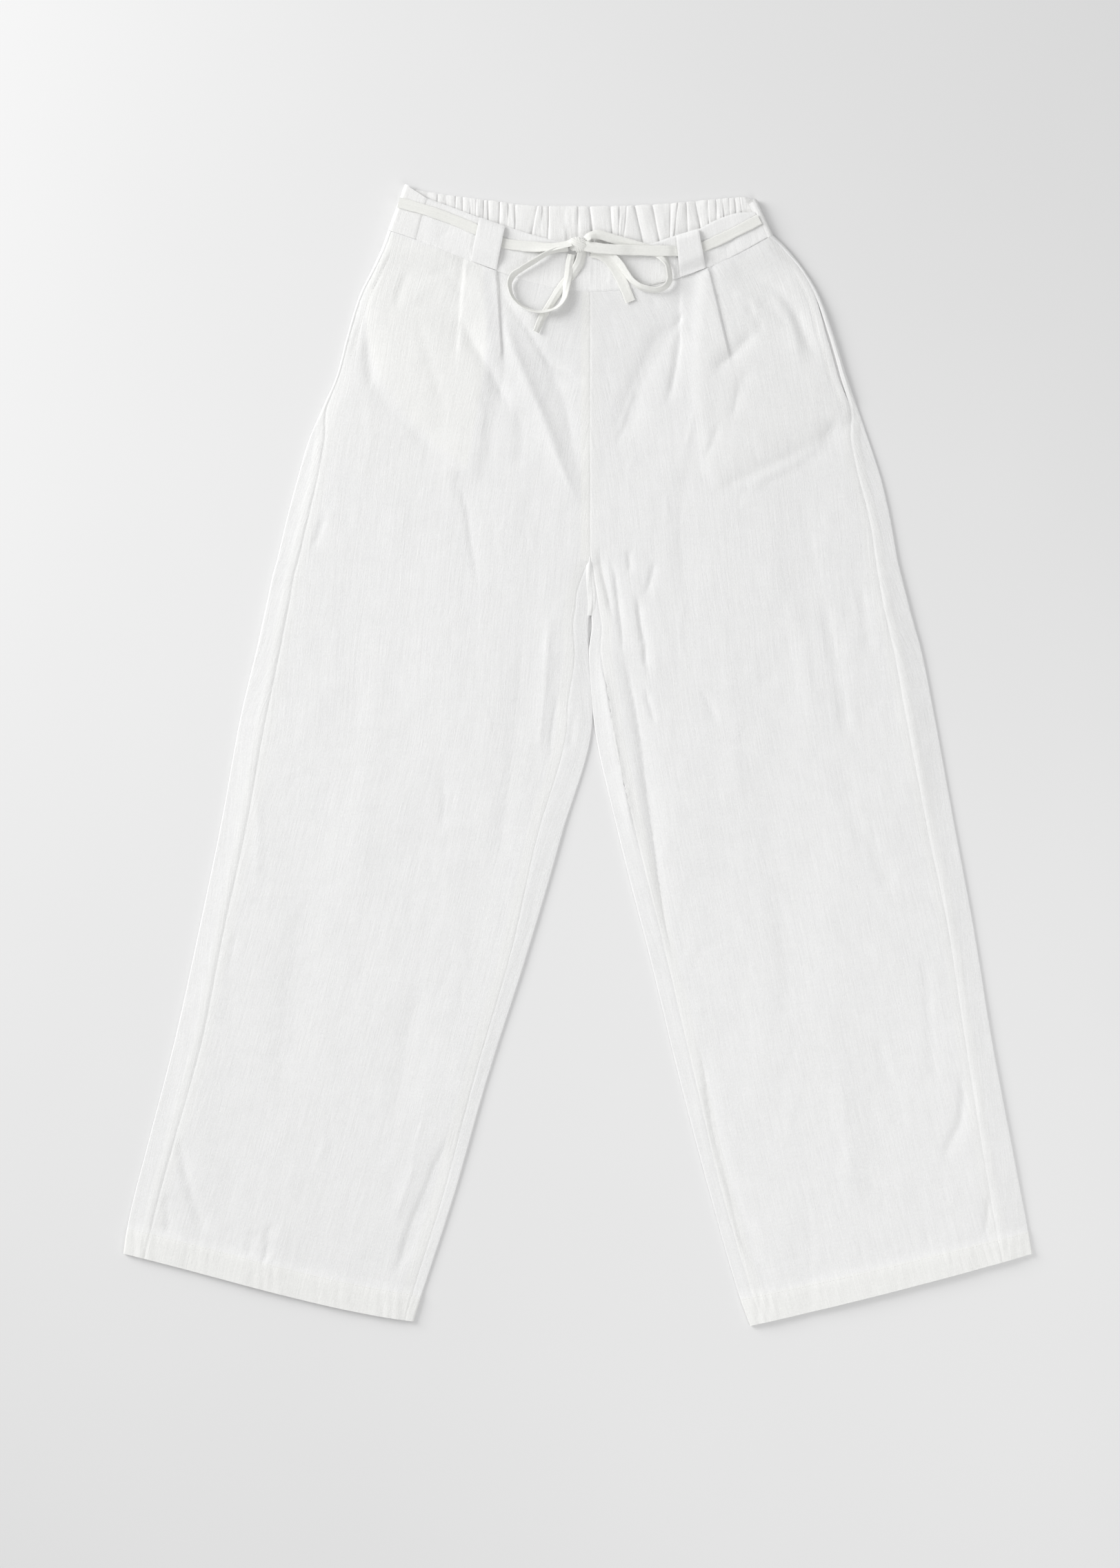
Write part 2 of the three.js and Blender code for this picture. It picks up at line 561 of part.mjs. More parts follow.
// Where a tuck's line crosses a row, as a share of the row; below its stitching the share stays.
function tuckShare(row, tuck) {
  const cross = (x, y) => {
    const dx = row.innerX - row.outerX;
    const dy = row.innerY - row.outerY;
    return ((x - row.outerX) * dx + (y - row.outerY) * dy) / (row.length * row.length);
  };
  const rowY = lerp(row.outerY, row.innerY, cross(tuck.x, tuck.y));
  const t = THREE.MathUtils.clamp((tuck.y - rowY) / (tuck.y - tuck.endY), 0, TUCK_RUN_ON);
  return cross(lerp(tuck.x, tuck.endX, t), lerp(tuck.y, tuck.endY, t));
}

function frontLeg(side) {
  const [outerTuck, innerTuck] = TUCKS[side];
  const rows = rowHeights(TUCK_ROWS_FROM).map((v) => {
    const row = legRow(side, v);
    const start = outerFold(side, row).seam + row.mouth + SEAM_GAP;
    const end = row.length - row.inseam - SEAM_GAP / 2;
    const first = tuckShare(row, outerTuck) * row.length;
    const second = tuckShare(row, innerTuck) * row.length;
    const half = lerp(TUCK_OPEN_HALF, TUCK_EDGE, smooth(TUCK_OPEN_FROM, TUCK_OPEN_TO, row.outerY));
    const distances = [];
    for (let i = 0; i < COLUMNS_OUTSIDE; i += 1) {
      distances.push(lerp(start, first - half, i / COLUMNS_OUTSIDE));
    }
    TUCK_CLUSTER.forEach((share) => distances.push(first + share * half));
    distances.push((first + second) / 2);
    TUCK_CLUSTER.forEach((share) => distances.push(second + share * half));
    for (let i = 1; i <= COLUMNS_INSIDE; i += 1) {
      distances.push(lerp(second + half, end, i / COLUMNS_INSIDE));
    }
    const lower = v === LEG_TOP ? SEAM_GAP / 2 : 0;
    return distances.map((distance) => {
      const point = rowPoint(row, distance);
      const level = upperLevel(side, point.x, point.y, v);
      return {
        at: new THREE.Vector3(point.x, point.y - lower, level),
        out: CLOTH / 2,
        in: CLOTH / 2 + hemDepth(v),
        flip: side === "left",
      };
    });
  });
  return wallGeometry(rows);
}

// Where the underside's wall is cut lengthwise, from the outer fold to where it rolls up or ends.
function undersideDistances(side, row) {
  const { centre } = outerFold(side, row);
  const flatTo = lerp(row.length - UNROLLED_MARGIN, innerFold(side, row).centre, row.roll);
  return UNDERSIDE_COLUMNS.map((share) => lerp(centre, flatTo, share));
}

function innerFold(side, row) {
  const near = rowPoint(row, row.length - CLOTH / 2 - FOLD_PROBE);
  const radius = (upperLevel(side, near.x, near.y, row.v) - LOWER) / 2;
  return { radius, centre: row.length - CLOTH / 2 - radius };
}

// The back's section: side seam strip on the front face, the outer fold, the underside, then either the
// inner fold and the strip to the inseam, or the same points laid flat up to the centre seam.
function backLeg(side) {
  const rows = rowHeights().map((v) => {
    const row = legRow(side, v);
    const points = [];
    const add = (distance, z) => points.push({ distance, z });
    const levelAt = (distance) => {
      const point = rowPoint(row, distance);
      return upperLevel(side, point.x, point.y, v);
    };
    const { radius: outerRadius, centre: outerCentre, seam } = outerFold(side, row);
    add(seam, levelAt(seam));
    add(lerp(seam, outerCentre, 0.5), levelAt(lerp(seam, outerCentre, 0.5)));
    for (let i = 0; i <= ARC_STEPS; i += 1) {
      const angle = Math.PI * (0.5 - i / ARC_STEPS);
      add(outerCentre - outerRadius * Math.cos(angle), LOWER + outerRadius + outerRadius * Math.sin(angle));
    }
    const { radius: innerRadius, centre: innerCentre } = innerFold(side, row);
    const flat = undersideDistances(side, row);
    const flatTo = flat[flat.length - 1];
    flat.slice(1).forEach((distance) => add(distance, LOWER));
    const innerSeam = row.length - row.inseam + SEAM_GAP / 2;
    const rolled = [];
    for (let i = 1; i <= ARC_STEPS; i += 1) {
      const angle = Math.PI * (i / ARC_STEPS - 0.5);
      rolled.push({
        distance: innerCentre + innerRadius * Math.cos(angle),
        z: LOWER + innerRadius + innerRadius * Math.sin(angle),
      });
    }
    const strip = Math.min(innerSeam, innerCentre - 0.2);
    rolled.push({ distance: lerp(innerCentre, strip, 0.5), z: levelAt(lerp(innerCentre, strip, 0.5)) });
    rolled.push({ distance: strip, z: levelAt(strip) });
    rolled.forEach((target, i) => {
      const unrolled = lerp(flatTo, row.length - SEAM_GAP / 2, (i + 1) / rolled.length);
      add(lerp(unrolled, target.distance, row.roll), lerp(LOWER, target.z, row.roll));
    });
    const lower = v === LEG_TOP ? SEAM_GAP / 2 : 0;
    return points.map(({ distance, z }) => {
      const point = z < UNDERSIDE_TOP ? backPoint(row, distance) : rowPoint(row, distance);
      return {
        at: new THREE.Vector3(point.x, point.y - lower, z),
        out: CLOTH / 2,
        in: CLOTH / 2 + hemDepth(v),
        flip: side === "right",
      };
    });
  });
  return wallGeometry(rows);
}

// A point a distance along a line of points, and the point where such a line has a given x.
function along(line, distance) {
  let left = distance;
  for (let i = 0; i < line.length - 1; i += 1) {
    const step = Math.hypot(line[i + 1].x - line[i].x, line[i + 1].y - line[i].y);
    if (left <= step || i === line.length - 2) {
      return { x: lerp(line[i].x, line[i + 1].x, left / step), y: lerp(line[i].y, line[i + 1].y, left / step) };
    }
    left -= step;
  }
  return line[0];
}

function atX(line, x) {
  let i = 0;
  while (i < line.length - 2 && line[i + 1].x < x) i += 1;
  const t = (x - line[i].x) / (line[i + 1].x - line[i].x);
  return { x, y: lerp(line[i].y, line[i + 1].y, t) };
}

function lineLength(line) {
  let length = 0;
  for (let i = 0; i < line.length - 1; i += 1) {
    length += Math.hypot(line[i + 1].x - line[i].x, line[i + 1].y - line[i].y);
  }
  return length;
}

// The waist seam of the front or of the back, from the right fold to the left one.
function waistSeam(isBack) {
  const line = [];
  for (const side of SIDES) {
    const row = legRow(side, LEG_TOP);
    const points = isBack
      ? [0, ...undersideDistances(side, row), row.length].map((distance) => backPoint(row, distance))
      : Array.from({ length: SEAM_STEPS + 1 }, (_, i) => rowPoint(row, (row.length * i) / SEAM_STEPS));
    line.push(...(side === "left" ? points.reverse() : points));
  }
  return line;
}

function frontBand() {
  const stations = FRONT_BAND.map((station) => {
    const row = legRow(station.leg, LEG_TOP);
    const seam = rowPoint(row, station.share * row.length);
    return {
      bottom: new THREE.Vector3(seam.x, seam.y + SEAM_GAP / 2, 0),
      top: new THREE.Vector3(station.topX, station.topY, 0),
      side: station.leg,
    };
  });
  const rows = BAND_ROWS.map((share) => stations.map(({ bottom, top, side }) => {
    const at = bottom.clone().lerp(top, share);
    at.z = bandLevel(side, at.x, at.y);
    return { at, out: BAND_CLOTH / 2, in: BAND_CLOTH / 2 };
  }));
  return wallGeometry(rows);
}

// The elasticated casing: a strip on the front face at each end, a fold, and the gathered inner face that
// shows above the front. Its underside stays flat.
function backBand() {
  const bottomLine = waistSeam(true);
  const topLine = BACK_BAND;
  const lineAt = (share) => (place) => {
    const bottom = place(bottomLine, "bottom");
    const top = place(topLine, "top");
    return { x: lerp(bottom.x, top.x, share), y: lerp(bottom.y, top.y, share) };
  };
  const lower = ELASTIC_CLOTH / 2;
  const rows = CASING_ROWS.map((share) => {
    const at = lineAt(share);
    const columns = [];
    const add = (point, z, rise = 0) => {
      columns.push({
        at: new THREE.Vector3(point.x, point.y + (share === 0 ? SEAM_GAP : 0), z),
        out: ELASTIC_CLOTH / 2,
        in: ELASTIC_CLOTH / 2 + rise,
        flip: true,
      });
    };
    const wrapStrip = (side) => {
      const wrap = BACK_BAND_WRAP[side];
      const reach = lerp(wrap.bottom, wrap.top, share);
      const frontSeam = waistSeam(false);
      const length = lineLength(frontSeam);
      const seam = (distance) => along(frontSeam, side === "right" ? distance : length - distance);
      const edge = BACK_BAND_FRONT_EDGE[side];
      const strip = (distance) => {
        const bottom = seam(distance);
        const top = {
          x: lerp(edge.foldX, edge.seamX, distance / reach),
          y: lerp(edge.foldY, edge.seamY, distance / reach),
        };
        return { x: lerp(bottom.x, top.x, share), y: lerp(bottom.y, top.y, share) };
      };
      return { reach, strip };
    };
    const fold = (side) => {
      const end = at((line) => along(line, side === "right" ? 0 : lineLength(line)));
      const radius = (bandLevel(side, end.x, end.y) - lower) / 2;
      return { radius, centre: lower + radius };
    };
    const ring = (side, angle) => {
      const { radius, centre } = fold(side);
      const distance = centre - radius * Math.cos(angle);
      const point = at((line) => along(line, side === "right" ? distance : lineLength(line) - distance));
      add(point, lower + radius + radius * Math.sin(angle));
    };
    const right = wrapStrip("right");
    [right.reach - SEAM_GAP, lerp(right.reach, fold("right").centre, 0.5)].forEach((distance) => {
      const point = right.strip(distance);
      add(point, bandLevel("right", point.x, point.y));
    });
    for (let i = 0; i <= ARC_STEPS; i += 1) ring("right", Math.PI * (0.5 - i / ARC_STEPS));
    GATHERS.forEach((gather, i) => {
      const next = GATHERS[i + 1];
      const valley = at((line, edge) => atX(line, edge === "top" ? gather.topX : gather.bottomX));
      add(valley, lower);
      if (!next) return;
      const full = Math.min(1, (next.topX - gather.topX) / GATHER_FULL);
      GATHER_CRESTS.forEach(({ place, rise }) => {
        const crest = at((line, edge) => atX(line, edge === "top"
          ? lerp(gather.topX, next.topX, place) : lerp(gather.bottomX, next.bottomX, place)));
        add(crest, lower, GATHER_RISE * full * rise);
      });
    });
    for (let i = ARC_STEPS; i >= 0; i -= 1) ring("left", Math.PI * (0.5 - i / ARC_STEPS));
    const left = wrapStrip("left");
    const end = left.strip(left.reach);
    add(end, bandLevel("left", end.x, end.y));
    return columns;
  });
  return wallGeometry(rows);
}

// A loop lies on the band from the waist seam to the top edge and arches over the tie.
function beltLoop(side) {
  const loop = LOOPS[side];
  const row = legRow(side, LEG_TOP);
  const rows = LOOP_ROWS.map((share) => STRIP_COLUMNS.map((across) => {
    const seam = rowPoint(row, lerp(loop.share, loop.toShare, across) * row.length);
    const x = lerp(seam.x, lerp(loop.topX, loop.toTopX, across), share);
    const y = lerp(seam.y + SEAM_GAP, lerp(loop.topY, loop.toTopY, across), share);
    const arch = LOOP_ARCH * smooth(0.05, 0.36, share) * (1 - smooth(0.84, 1.1, share));
    const level = bandLevel(side, x, y) + BAND_CLOTH / 2 + SEAM_GAP + LOOP_CLOTH / 2 + arch;
    return { at: new THREE.Vector3(x, y, level), out: LOOP_CLOTH / 2, in: LOOP_CLOTH / 2 };
  }));
  return wallGeometry(rows);
}

function pocketBag(side) {
  const rows = POCKET_BAGS[side].map(({ y, outerX, innerX }) => STRIP_COLUMNS.map((share) => ({
    at: new THREE.Vector3(lerp(outerX, innerX, share), y, BAG_LEVEL),
    out: BAG_CLOTH / 2,
    in: BAG_CLOTH / 2,
  })));
  return wallGeometry(rows);
}

// Top of the cloth that the tie lies on: the waistband above the waist seam, the front panel below it.
function clothTop(x, y) {
  const side = x < LEFT_LEG[LEG_TOP][2] ? "right" : "left";
  const seamY = atX(waistSeam(false), x).y;
  const panel = upperLevel(side, x, Math.min(y, seamY), LEG_TOP) + CLOTH / 2;
  if (y <= seamY - ON_SEAM) return panel;
  const band = bandLevel(side, x, y) + BAND_CLOTH / 2;
  return lerp(Math.max(panel, band), band, smooth(seamY, seamY + OFF_SEAM, y));
}

// A flat strip along a smooth line through its points, turned on its edge where the table says so.
function tieStrip(points) {
  const centres = points.map(({ x, y, rise, turn }, i) => {
    const angle = THREE.MathUtils.degToRad(turn);
    const halfHeight = (TIE_WIDTH * Math.sin(angle) + TIE_CLOTH * Math.cos(angle)) / 2;
    const [before, after] = [points[Math.max(i - 1, 0)], points[Math.min(i + 1, points.length - 1)]];
    const beside = new THREE.Vector2(after.y - before.y, before.x - after.x).normalize();
    const reach = (TIE_WIDTH / 2) * Math.cos(angle);
    const under = [-reach, 0, reach].map((d) => clothTop(x + beside.x * d, y + beside.y * d));
    return new THREE.Vector3(x, y, Math.max(...under) + rise + halfHeight);
  });
  const curve = new THREE.CatmullRomCurve3(centres, false, "centripetal");
  const steps = (points.length - 1) * TIE_STEPS;
  const rows = [];
  for (let i = 0; i <= steps; i += 1) {
    const t = i / steps;
    const at = curve.getPoint(t);
    const tangent = curve.getTangent(t);
    const beside = new THREE.Vector3(tangent.y, -tangent.x, 0).normalize();
    const place = Math.min(Math.floor(i / TIE_STEPS), points.length - 2);
    const turn = lerp(points[place].turn, points[place + 1].turn, i / TIE_STEPS - place);
    const angle = THREE.MathUtils.degToRad(turn);
    const across = beside.multiplyScalar(Math.cos(angle)).add(new THREE.Vector3(0, 0, Math.sin(angle)));
    rows.push([-0.5, 0.5].map((k) => ({
      at: at.clone().addScaledVector(across, k * TIE_WIDTH),
      out: TIE_CLOTH / 2,
      in: TIE_CLOTH / 2,
    })));
  }
  return wallGeometry(rows);
}

function tieKnot() {
  const { x, y, acrossX, acrossY, height, rise } = KNOT;
  const knot = new THREE.SphereGeometry(1, 12, 8);
  knot.scale(acrossX / 2, acrossY / 2, height / 2);
  knot.translate(x, y, clothTop(x, y) + rise + height / 2);
  return closedCopy(knot);
}

// A geometry class leaves its seam open, so equal points are merged and faces without area dropped.
function closedCopy(geometry) {
  geometry.deleteAttribute("normal");
  geometry.deleteAttribute("uv");
  const merged = mergeVertices(geometry, 1e-4);
  merged.computeVertexNormals();
  return merged;
}

const trousers = new THREE.Group();

function addPiece(name, geometry, material) {
  const piece = new THREE.Mesh(geometry, material);
  piece.name = name;
  trousers.add(piece);
}

for (const side of SIDES) {
  addPiece("front_leg_" + side, frontLeg(side), MATERIALS.linen);
  addPiece("back_leg_" + side, backLeg(side), MATERIALS.linen);
  addPiece("pocket_bag_" + side, pocketBag(side), MATERIALS.linen);
  addPiece("belt_loop_" + side, beltLoop(side), MATERIALS.band);
}
addPiece("waistband_front", frontBand(), MATERIALS.band);
addPiece("waistband_back", backBand(), MATERIALS.band);
for (const [name, points] of Object.entries(TIE)) addPiece(name, tieStrip(points), MATERIALS.tie);
addPiece("tie_knot", tieKnot(), MATERIALS.tie);

// The drawing's centre lies under the middle of the whole garment's box.
const box = new THREE.Box3().setFromObject(trousers);
trousers.position.set(-(box.min.x + box.max.x) / 2, -(box.min.y + box.max.y) / 2, 0);

export default trousers;
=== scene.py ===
import math

import bpy
import numpy as np
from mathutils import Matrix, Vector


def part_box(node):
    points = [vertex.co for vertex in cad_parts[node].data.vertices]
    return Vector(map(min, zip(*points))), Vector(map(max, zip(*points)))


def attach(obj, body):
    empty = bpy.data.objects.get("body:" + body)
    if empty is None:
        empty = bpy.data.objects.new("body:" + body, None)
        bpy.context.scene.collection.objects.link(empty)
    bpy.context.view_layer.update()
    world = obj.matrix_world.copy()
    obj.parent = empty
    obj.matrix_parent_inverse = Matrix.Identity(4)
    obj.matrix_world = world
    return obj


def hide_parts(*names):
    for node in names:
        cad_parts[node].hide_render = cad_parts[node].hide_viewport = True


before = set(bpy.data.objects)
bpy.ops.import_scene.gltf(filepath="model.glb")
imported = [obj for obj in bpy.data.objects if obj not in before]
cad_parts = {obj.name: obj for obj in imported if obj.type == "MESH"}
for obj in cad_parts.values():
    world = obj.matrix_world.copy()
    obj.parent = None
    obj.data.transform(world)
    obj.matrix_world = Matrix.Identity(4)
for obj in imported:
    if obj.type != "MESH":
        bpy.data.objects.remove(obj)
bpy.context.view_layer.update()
bpy.ops.object.select_all(action="DESELECT")

MM = 0.001

# Camera and surface. The trousers lie on a pale matt sweep of paper, and the camera looks straight down at
# them with the photograph's framing: its centre and its scale, which also gives the garment's size.
PHOTO_WIDTH_PX = 1624
PHOTO_HEIGHT_PX = 2273
DRAWING_ORIGIN_PX = (838, 1096.5)
MM_PER_PX = 0.63
CAMERA_HEIGHT = 2.8
KNOT_PLACE = (0.0, 465.5)
SURFACE_HALF_SIZE = 6.0
PAPER_DARKER = (0.80, 0.80, 0.80, 1)
PAPER_LIGHTER = (0.83, 0.83, 0.83, 1)


def set_inputs(tree, node, inputs):
    """Give each listed input of a node its value, or join it to another node's output."""
    for name, value in inputs.items():
        if isinstance(value, bpy.types.NodeSocket):
            tree.links.new(value, node.inputs[name])
        else:
            node.inputs[name].default_value = value


def new_node(tree, kind, inputs, **settings):
    """A new shader node with its settings and its inputs."""
    node = tree.nodes.new("ShaderNode" + kind)
    for name, value in settings.items():
        setattr(node, name, value)
    set_inputs(tree, node, inputs)
    return node


def new_material(name, inputs):
    """A new material with its node tree, and its shader with the inputs set."""
    material = bpy.data.materials.new(name)
    material.use_nodes = True
    shader = material.node_tree.nodes["Principled BSDF"]
    set_inputs(material.node_tree, shader, inputs)
    return material, material.node_tree, shader


knot_low, knot_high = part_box("tie_knot")
SHIFT_X = (knot_low[0] + knot_high[0]) / 2 / MM - KNOT_PLACE[0]
SHIFT_Y = (knot_low[1] + knot_high[1]) / 2 / MM - KNOT_PLACE[1]

view_x = ((PHOTO_WIDTH_PX / 2 - DRAWING_ORIGIN_PX[0]) * MM_PER_PX + SHIFT_X) * MM
view_y = ((DRAWING_ORIGIN_PX[1] - PHOTO_HEIGHT_PX / 2) * MM_PER_PX + SHIFT_Y) * MM
bpy.ops.object.camera_add(location=(view_x, view_y, CAMERA_HEIGHT), rotation=(0, 0, 0))
camera = bpy.context.object
camera.data.sensor_fit = "VERTICAL"
camera.data.angle = 2 * math.atan(PHOTO_HEIGHT_PX * MM_PER_PX * MM / 2 / CAMERA_HEIGHT)
bpy.context.scene.camera = camera

bpy.ops.mesh.primitive_grid_add(x_subdivisions=8, y_subdivisions=8, size=2 * SURFACE_HALF_SIZE)
surface = bpy.context.object
surface.name = "paper_sweep"
paper, paper_tree, paper_shader = new_material("pale_paper", {"Roughness": 0.85, "Specular IOR Level": 0.2})
paper_place = new_node(paper_tree, "TexCoord", {})
paper_mottle = new_node(
    paper_tree, "TexNoise", {"Vector": paper_place.outputs["Object"], "Scale": 3.0, "Detail": 3.0}
)
paper_tone = new_node(
    paper_tree, "Mix", {"Factor": paper_mottle.outputs["Fac"], "A": PAPER_DARKER, "B": PAPER_LIGHTER},
    data_type="RGBA",
)
set_inputs(paper_tree, paper_shader, {"Base Color": paper_tone.outputs["Result"]})
surface.data.materials.append(paper)

# Light: one large soft light from the upper left, a weaker one opposite, and the pale room all round, so
# that the white cloth stays bright and its folds show only as faint shades.
SOFT_LIGHTS = [
    {"name": "soft_light", "place": (-2.5, 1.4, 1.43), "size": 1.8, "power": 81.0},
    {"name": "fill_light", "place": (0.6, -0.6, 1.2), "size": 1.0, "power": 5.8},
]
ROOM_STRENGTH = 0.472

for light in SOFT_LIGHTS:
    bpy.ops.object.light_add(type="AREA", location=light["place"])
    lamp = bpy.context.object
    lamp.name = light["name"]
    lamp.data.size = light["size"]
    lamp.data.energy = light["power"]
    x, y, z = light["place"]
    lamp.rotation_euler = (0, math.atan2(math.hypot(x, y), z), math.atan2(y, x))
world = bpy.data.worlds.new("pale_room")
world.use_nodes = True
room = world.node_tree.nodes["Background"]
set_inputs(world.node_tree, room, {"Color": (1.0, 1.0, 1.0, 1), "Strength": ROOM_STRENGTH})
bpy.context.scene.world = world
bpy.context.scene.view_settings.view_transform = "Standard"

# Linen: a plain weave of warp and weft threads with thicker slubs, washed and matt. Single cloth lets the
# pale surface through, and doubled cloth, as in the hems and the waistband, looks a little creamier.
THREAD_PITCH = 0.56 * MM
# The slubs' streaks: how often each repeats in a metre across and along the cloth, and its share.
WEAVE_STREAKS = [
    ((1150.0, 34.0, 1.0), 0.30), ((30.0, 1050.0, 1.0), 0.10), ((430.0, 16.0, 1.0), 0.26),
    ((14.0, 400.0, 1.0), 0.04), ((640.0, 520.0, 1.0), 0.30),
]
CRUMPLE_HEIGHT = 3.0
SLUB_HEIGHT = 4.0
THREAD_HEIGHT = 0.25
# How the weave shades the cloth: the lowest and highest value that counts, and the tone at each.
WEAVE_SHADES = {"Slubs": (0.38, 0.62, 0.957, 1.034), "Mottle": (0.3, 0.7, 0.985, 1.01)}


def plain_weave():
    """Shader group: threads over and under each other, with slubs along both, from a UV map in metres."""
    group = bpy.data.node_groups.new("plain_weave", "ShaderNodeTree")
    group.interface.new_socket("Vector", in_out="INPUT", socket_type="NodeSocketVector")
    group.interface.new_socket("Pitch", in_out="INPUT", socket_type="NodeSocketFloat")
    for name in ("Height", "Slubs", "Mottle"):
        group.interface.new_socket(name, in_out="OUTPUT", socket_type="NodeSocketFloat")
    entry = group.nodes.new("NodeGroupInput")
    result = group.nodes.new("NodeGroupOutput")
    split = new_node(group, "SeparateXYZ", {"Vector": entry.outputs["Vector"]})

    def arithmetic(operation, first, second=None):
        values = {0: first} if second is None else {0: first, 1: second}
        return new_node(group, "Math", values, operation=operation).outputs["Value"]

    def noise(vector, scale, detail, roughness=0.5):
        inputs = {"Vector": vector, "Scale": scale, "Detail": detail, "Roughness": roughness}
        return new_node(group, "TexNoise", inputs).outputs["Fac"]

    waves = []
    for axis in ("X", "Y"):
        turns = arithmetic("DIVIDE", split.outputs[axis], entry.outputs["Pitch"])
        waves.append(arithmetic("SINE", arithmetic("MULTIPLY", turns, math.tau)))
    weave = arithmetic("MULTIPLY", waves[0], waves[1])
    slubs = 0.0
    for stretch, part in WEAVE_STREAKS:
        mapping = new_node(group, "Mapping", {"Vector": entry.outputs["Vector"], "Scale": stretch})
        streak = noise(mapping.outputs["Vector"], 1.0, 2.0)
        slubs = arithmetic("ADD", slubs, arithmetic("MULTIPLY", streak, part))
    mottle = noise(entry.outputs["Vector"], 55.0, 5.0, 0.6)
    crumple = arithmetic("MULTIPLY", mottle, CRUMPLE_HEIGHT)
    threads = arithmetic("MULTIPLY", slubs, SLUB_HEIGHT)
    woven = arithmetic("MULTIPLY", weave, THREAD_HEIGHT)
    height = arithmetic("ADD", arithmetic("ADD", threads, woven), crumple)
    set_inputs(group, result, {"Height": height, "Slubs": slubs, "Mottle": mottle})
    return group


WEAVE = plain_weave()


def linen(name, single, creamiest, relief=0.00036):
    """Matt linen whose tone goes from single to double cloth by the piece's own attribute, which on the right
    front also carries painted light above one crease.
    """
    material, tree, shader = new_material(name, {
        "Roughness": 0.88, "Specular IOR Level": 0.18, "Sheen Weight": 0.25, "Sheen Roughness": 0.6,
    })
    grain = new_node(tree, "UVMap", {}, uv_map="grain")
    weave = new_node(tree, "Group", {"Pitch": THREAD_PITCH, "Vector": grain.outputs["UV"]}, node_tree=WEAVE)
    cream_attribute = new_node(tree, "Attribute", {}, attribute_name="cream_share")
    base = new_node(
        tree, "Mix", {"Factor": cream_attribute.outputs["Fac"], "A": (*single, 1), "B": (*creamiest, 1)}, data_type="RGBA"
    )
    shades = {}
    for i, (output, (low, high, darker, lighter)) in enumerate(WEAVE_SHADES.items()):
        ends = {"From Min": low, "From Max": high, "To Min": darker, "To Max": lighter}
        shades[i] = new_node(tree, "MapRange", {"Value": weave.outputs[output], **ends}).outputs["Result"]
    shade = new_node(tree, "Math", shades, operation="MULTIPLY").outputs["Value"]
    tinted = new_node(
        tree, "VectorMath", {"Vector": base.outputs["Result"], "Scale": shade}, operation="SCALE"
    )
    bump = new_node(tree, "Bump", {"Strength": 0.5, "Distance": relief, "Height": weave.outputs["Height"]})
    set_inputs(tree, shader, {"Base Color": tinted.outputs["Vector"], "Normal": bump.outputs["Normal"]})
    return material


# Legs. Each is a front panel between its side seam and its inseam, and a back panel that wraps round both
# edges to those seams. Both are single linen, laid flat on each other, with a 25 mm hem turned up inside.
CLOTH = 1.2
SHEET = 0.6
SEAM_GAP = 0.3
SEWN_GAP = 0.04
HOLLOW = 1.4
# The middle of the lower and of the upper wall. The upper one comes down no further than close to the back
# panel, where its deepest creases turn softly.
LOWER = CLOTH / 2
UPPER = LOWER + CLOTH + HOLLOW
UPPER_LOWEST = LOWER + 0.6 * CLOTH
UPPER_SOFTENED = 0.3
# How much lower the front lies at the folded edges, and how far in from them that reaches.
EDGE_FALL = 1.4
EDGE_FALL_REACH = 13
# The turned-up hem: how much it lifts the front and thickens the sheets, how deep its stitching sinks and
# how wide that is, and how much the cloth puckers along it in wide and in narrow waves.
HEM_LIFT = 1.4
HEM_TURN = 0.5
HEM_SINK = 0.3
HEM_SINK_WIDTH = 1.6
HEM_PUCKERS = (0.22, 0.12)
# The waistband lifts the panels' upper ends, which stop a little below the waist seam.
WAIST_LIFT = 2.1
WAIST_LIFT_FROM = 440
WAIST_LIFT_TO = 464
WAIST_TRIM = 0.15
# How deep the cloth dips at a seam and how wide that is, and how high it stands over a seam allowance.
SEAM_DIP = 0.26
SEAM_DIP_WIDTH = 0.9
SEAM_RIDGE = 0.28
LINEN_SINGLE = (0.886, 0.886, 0.883)
# The creamier tone is doubled cloth's, and on the right front's cloth above the big crease it is also painted
# light.
LINEN_DOUBLE_AND_LIT = (0.907, 0.907, 0.889)

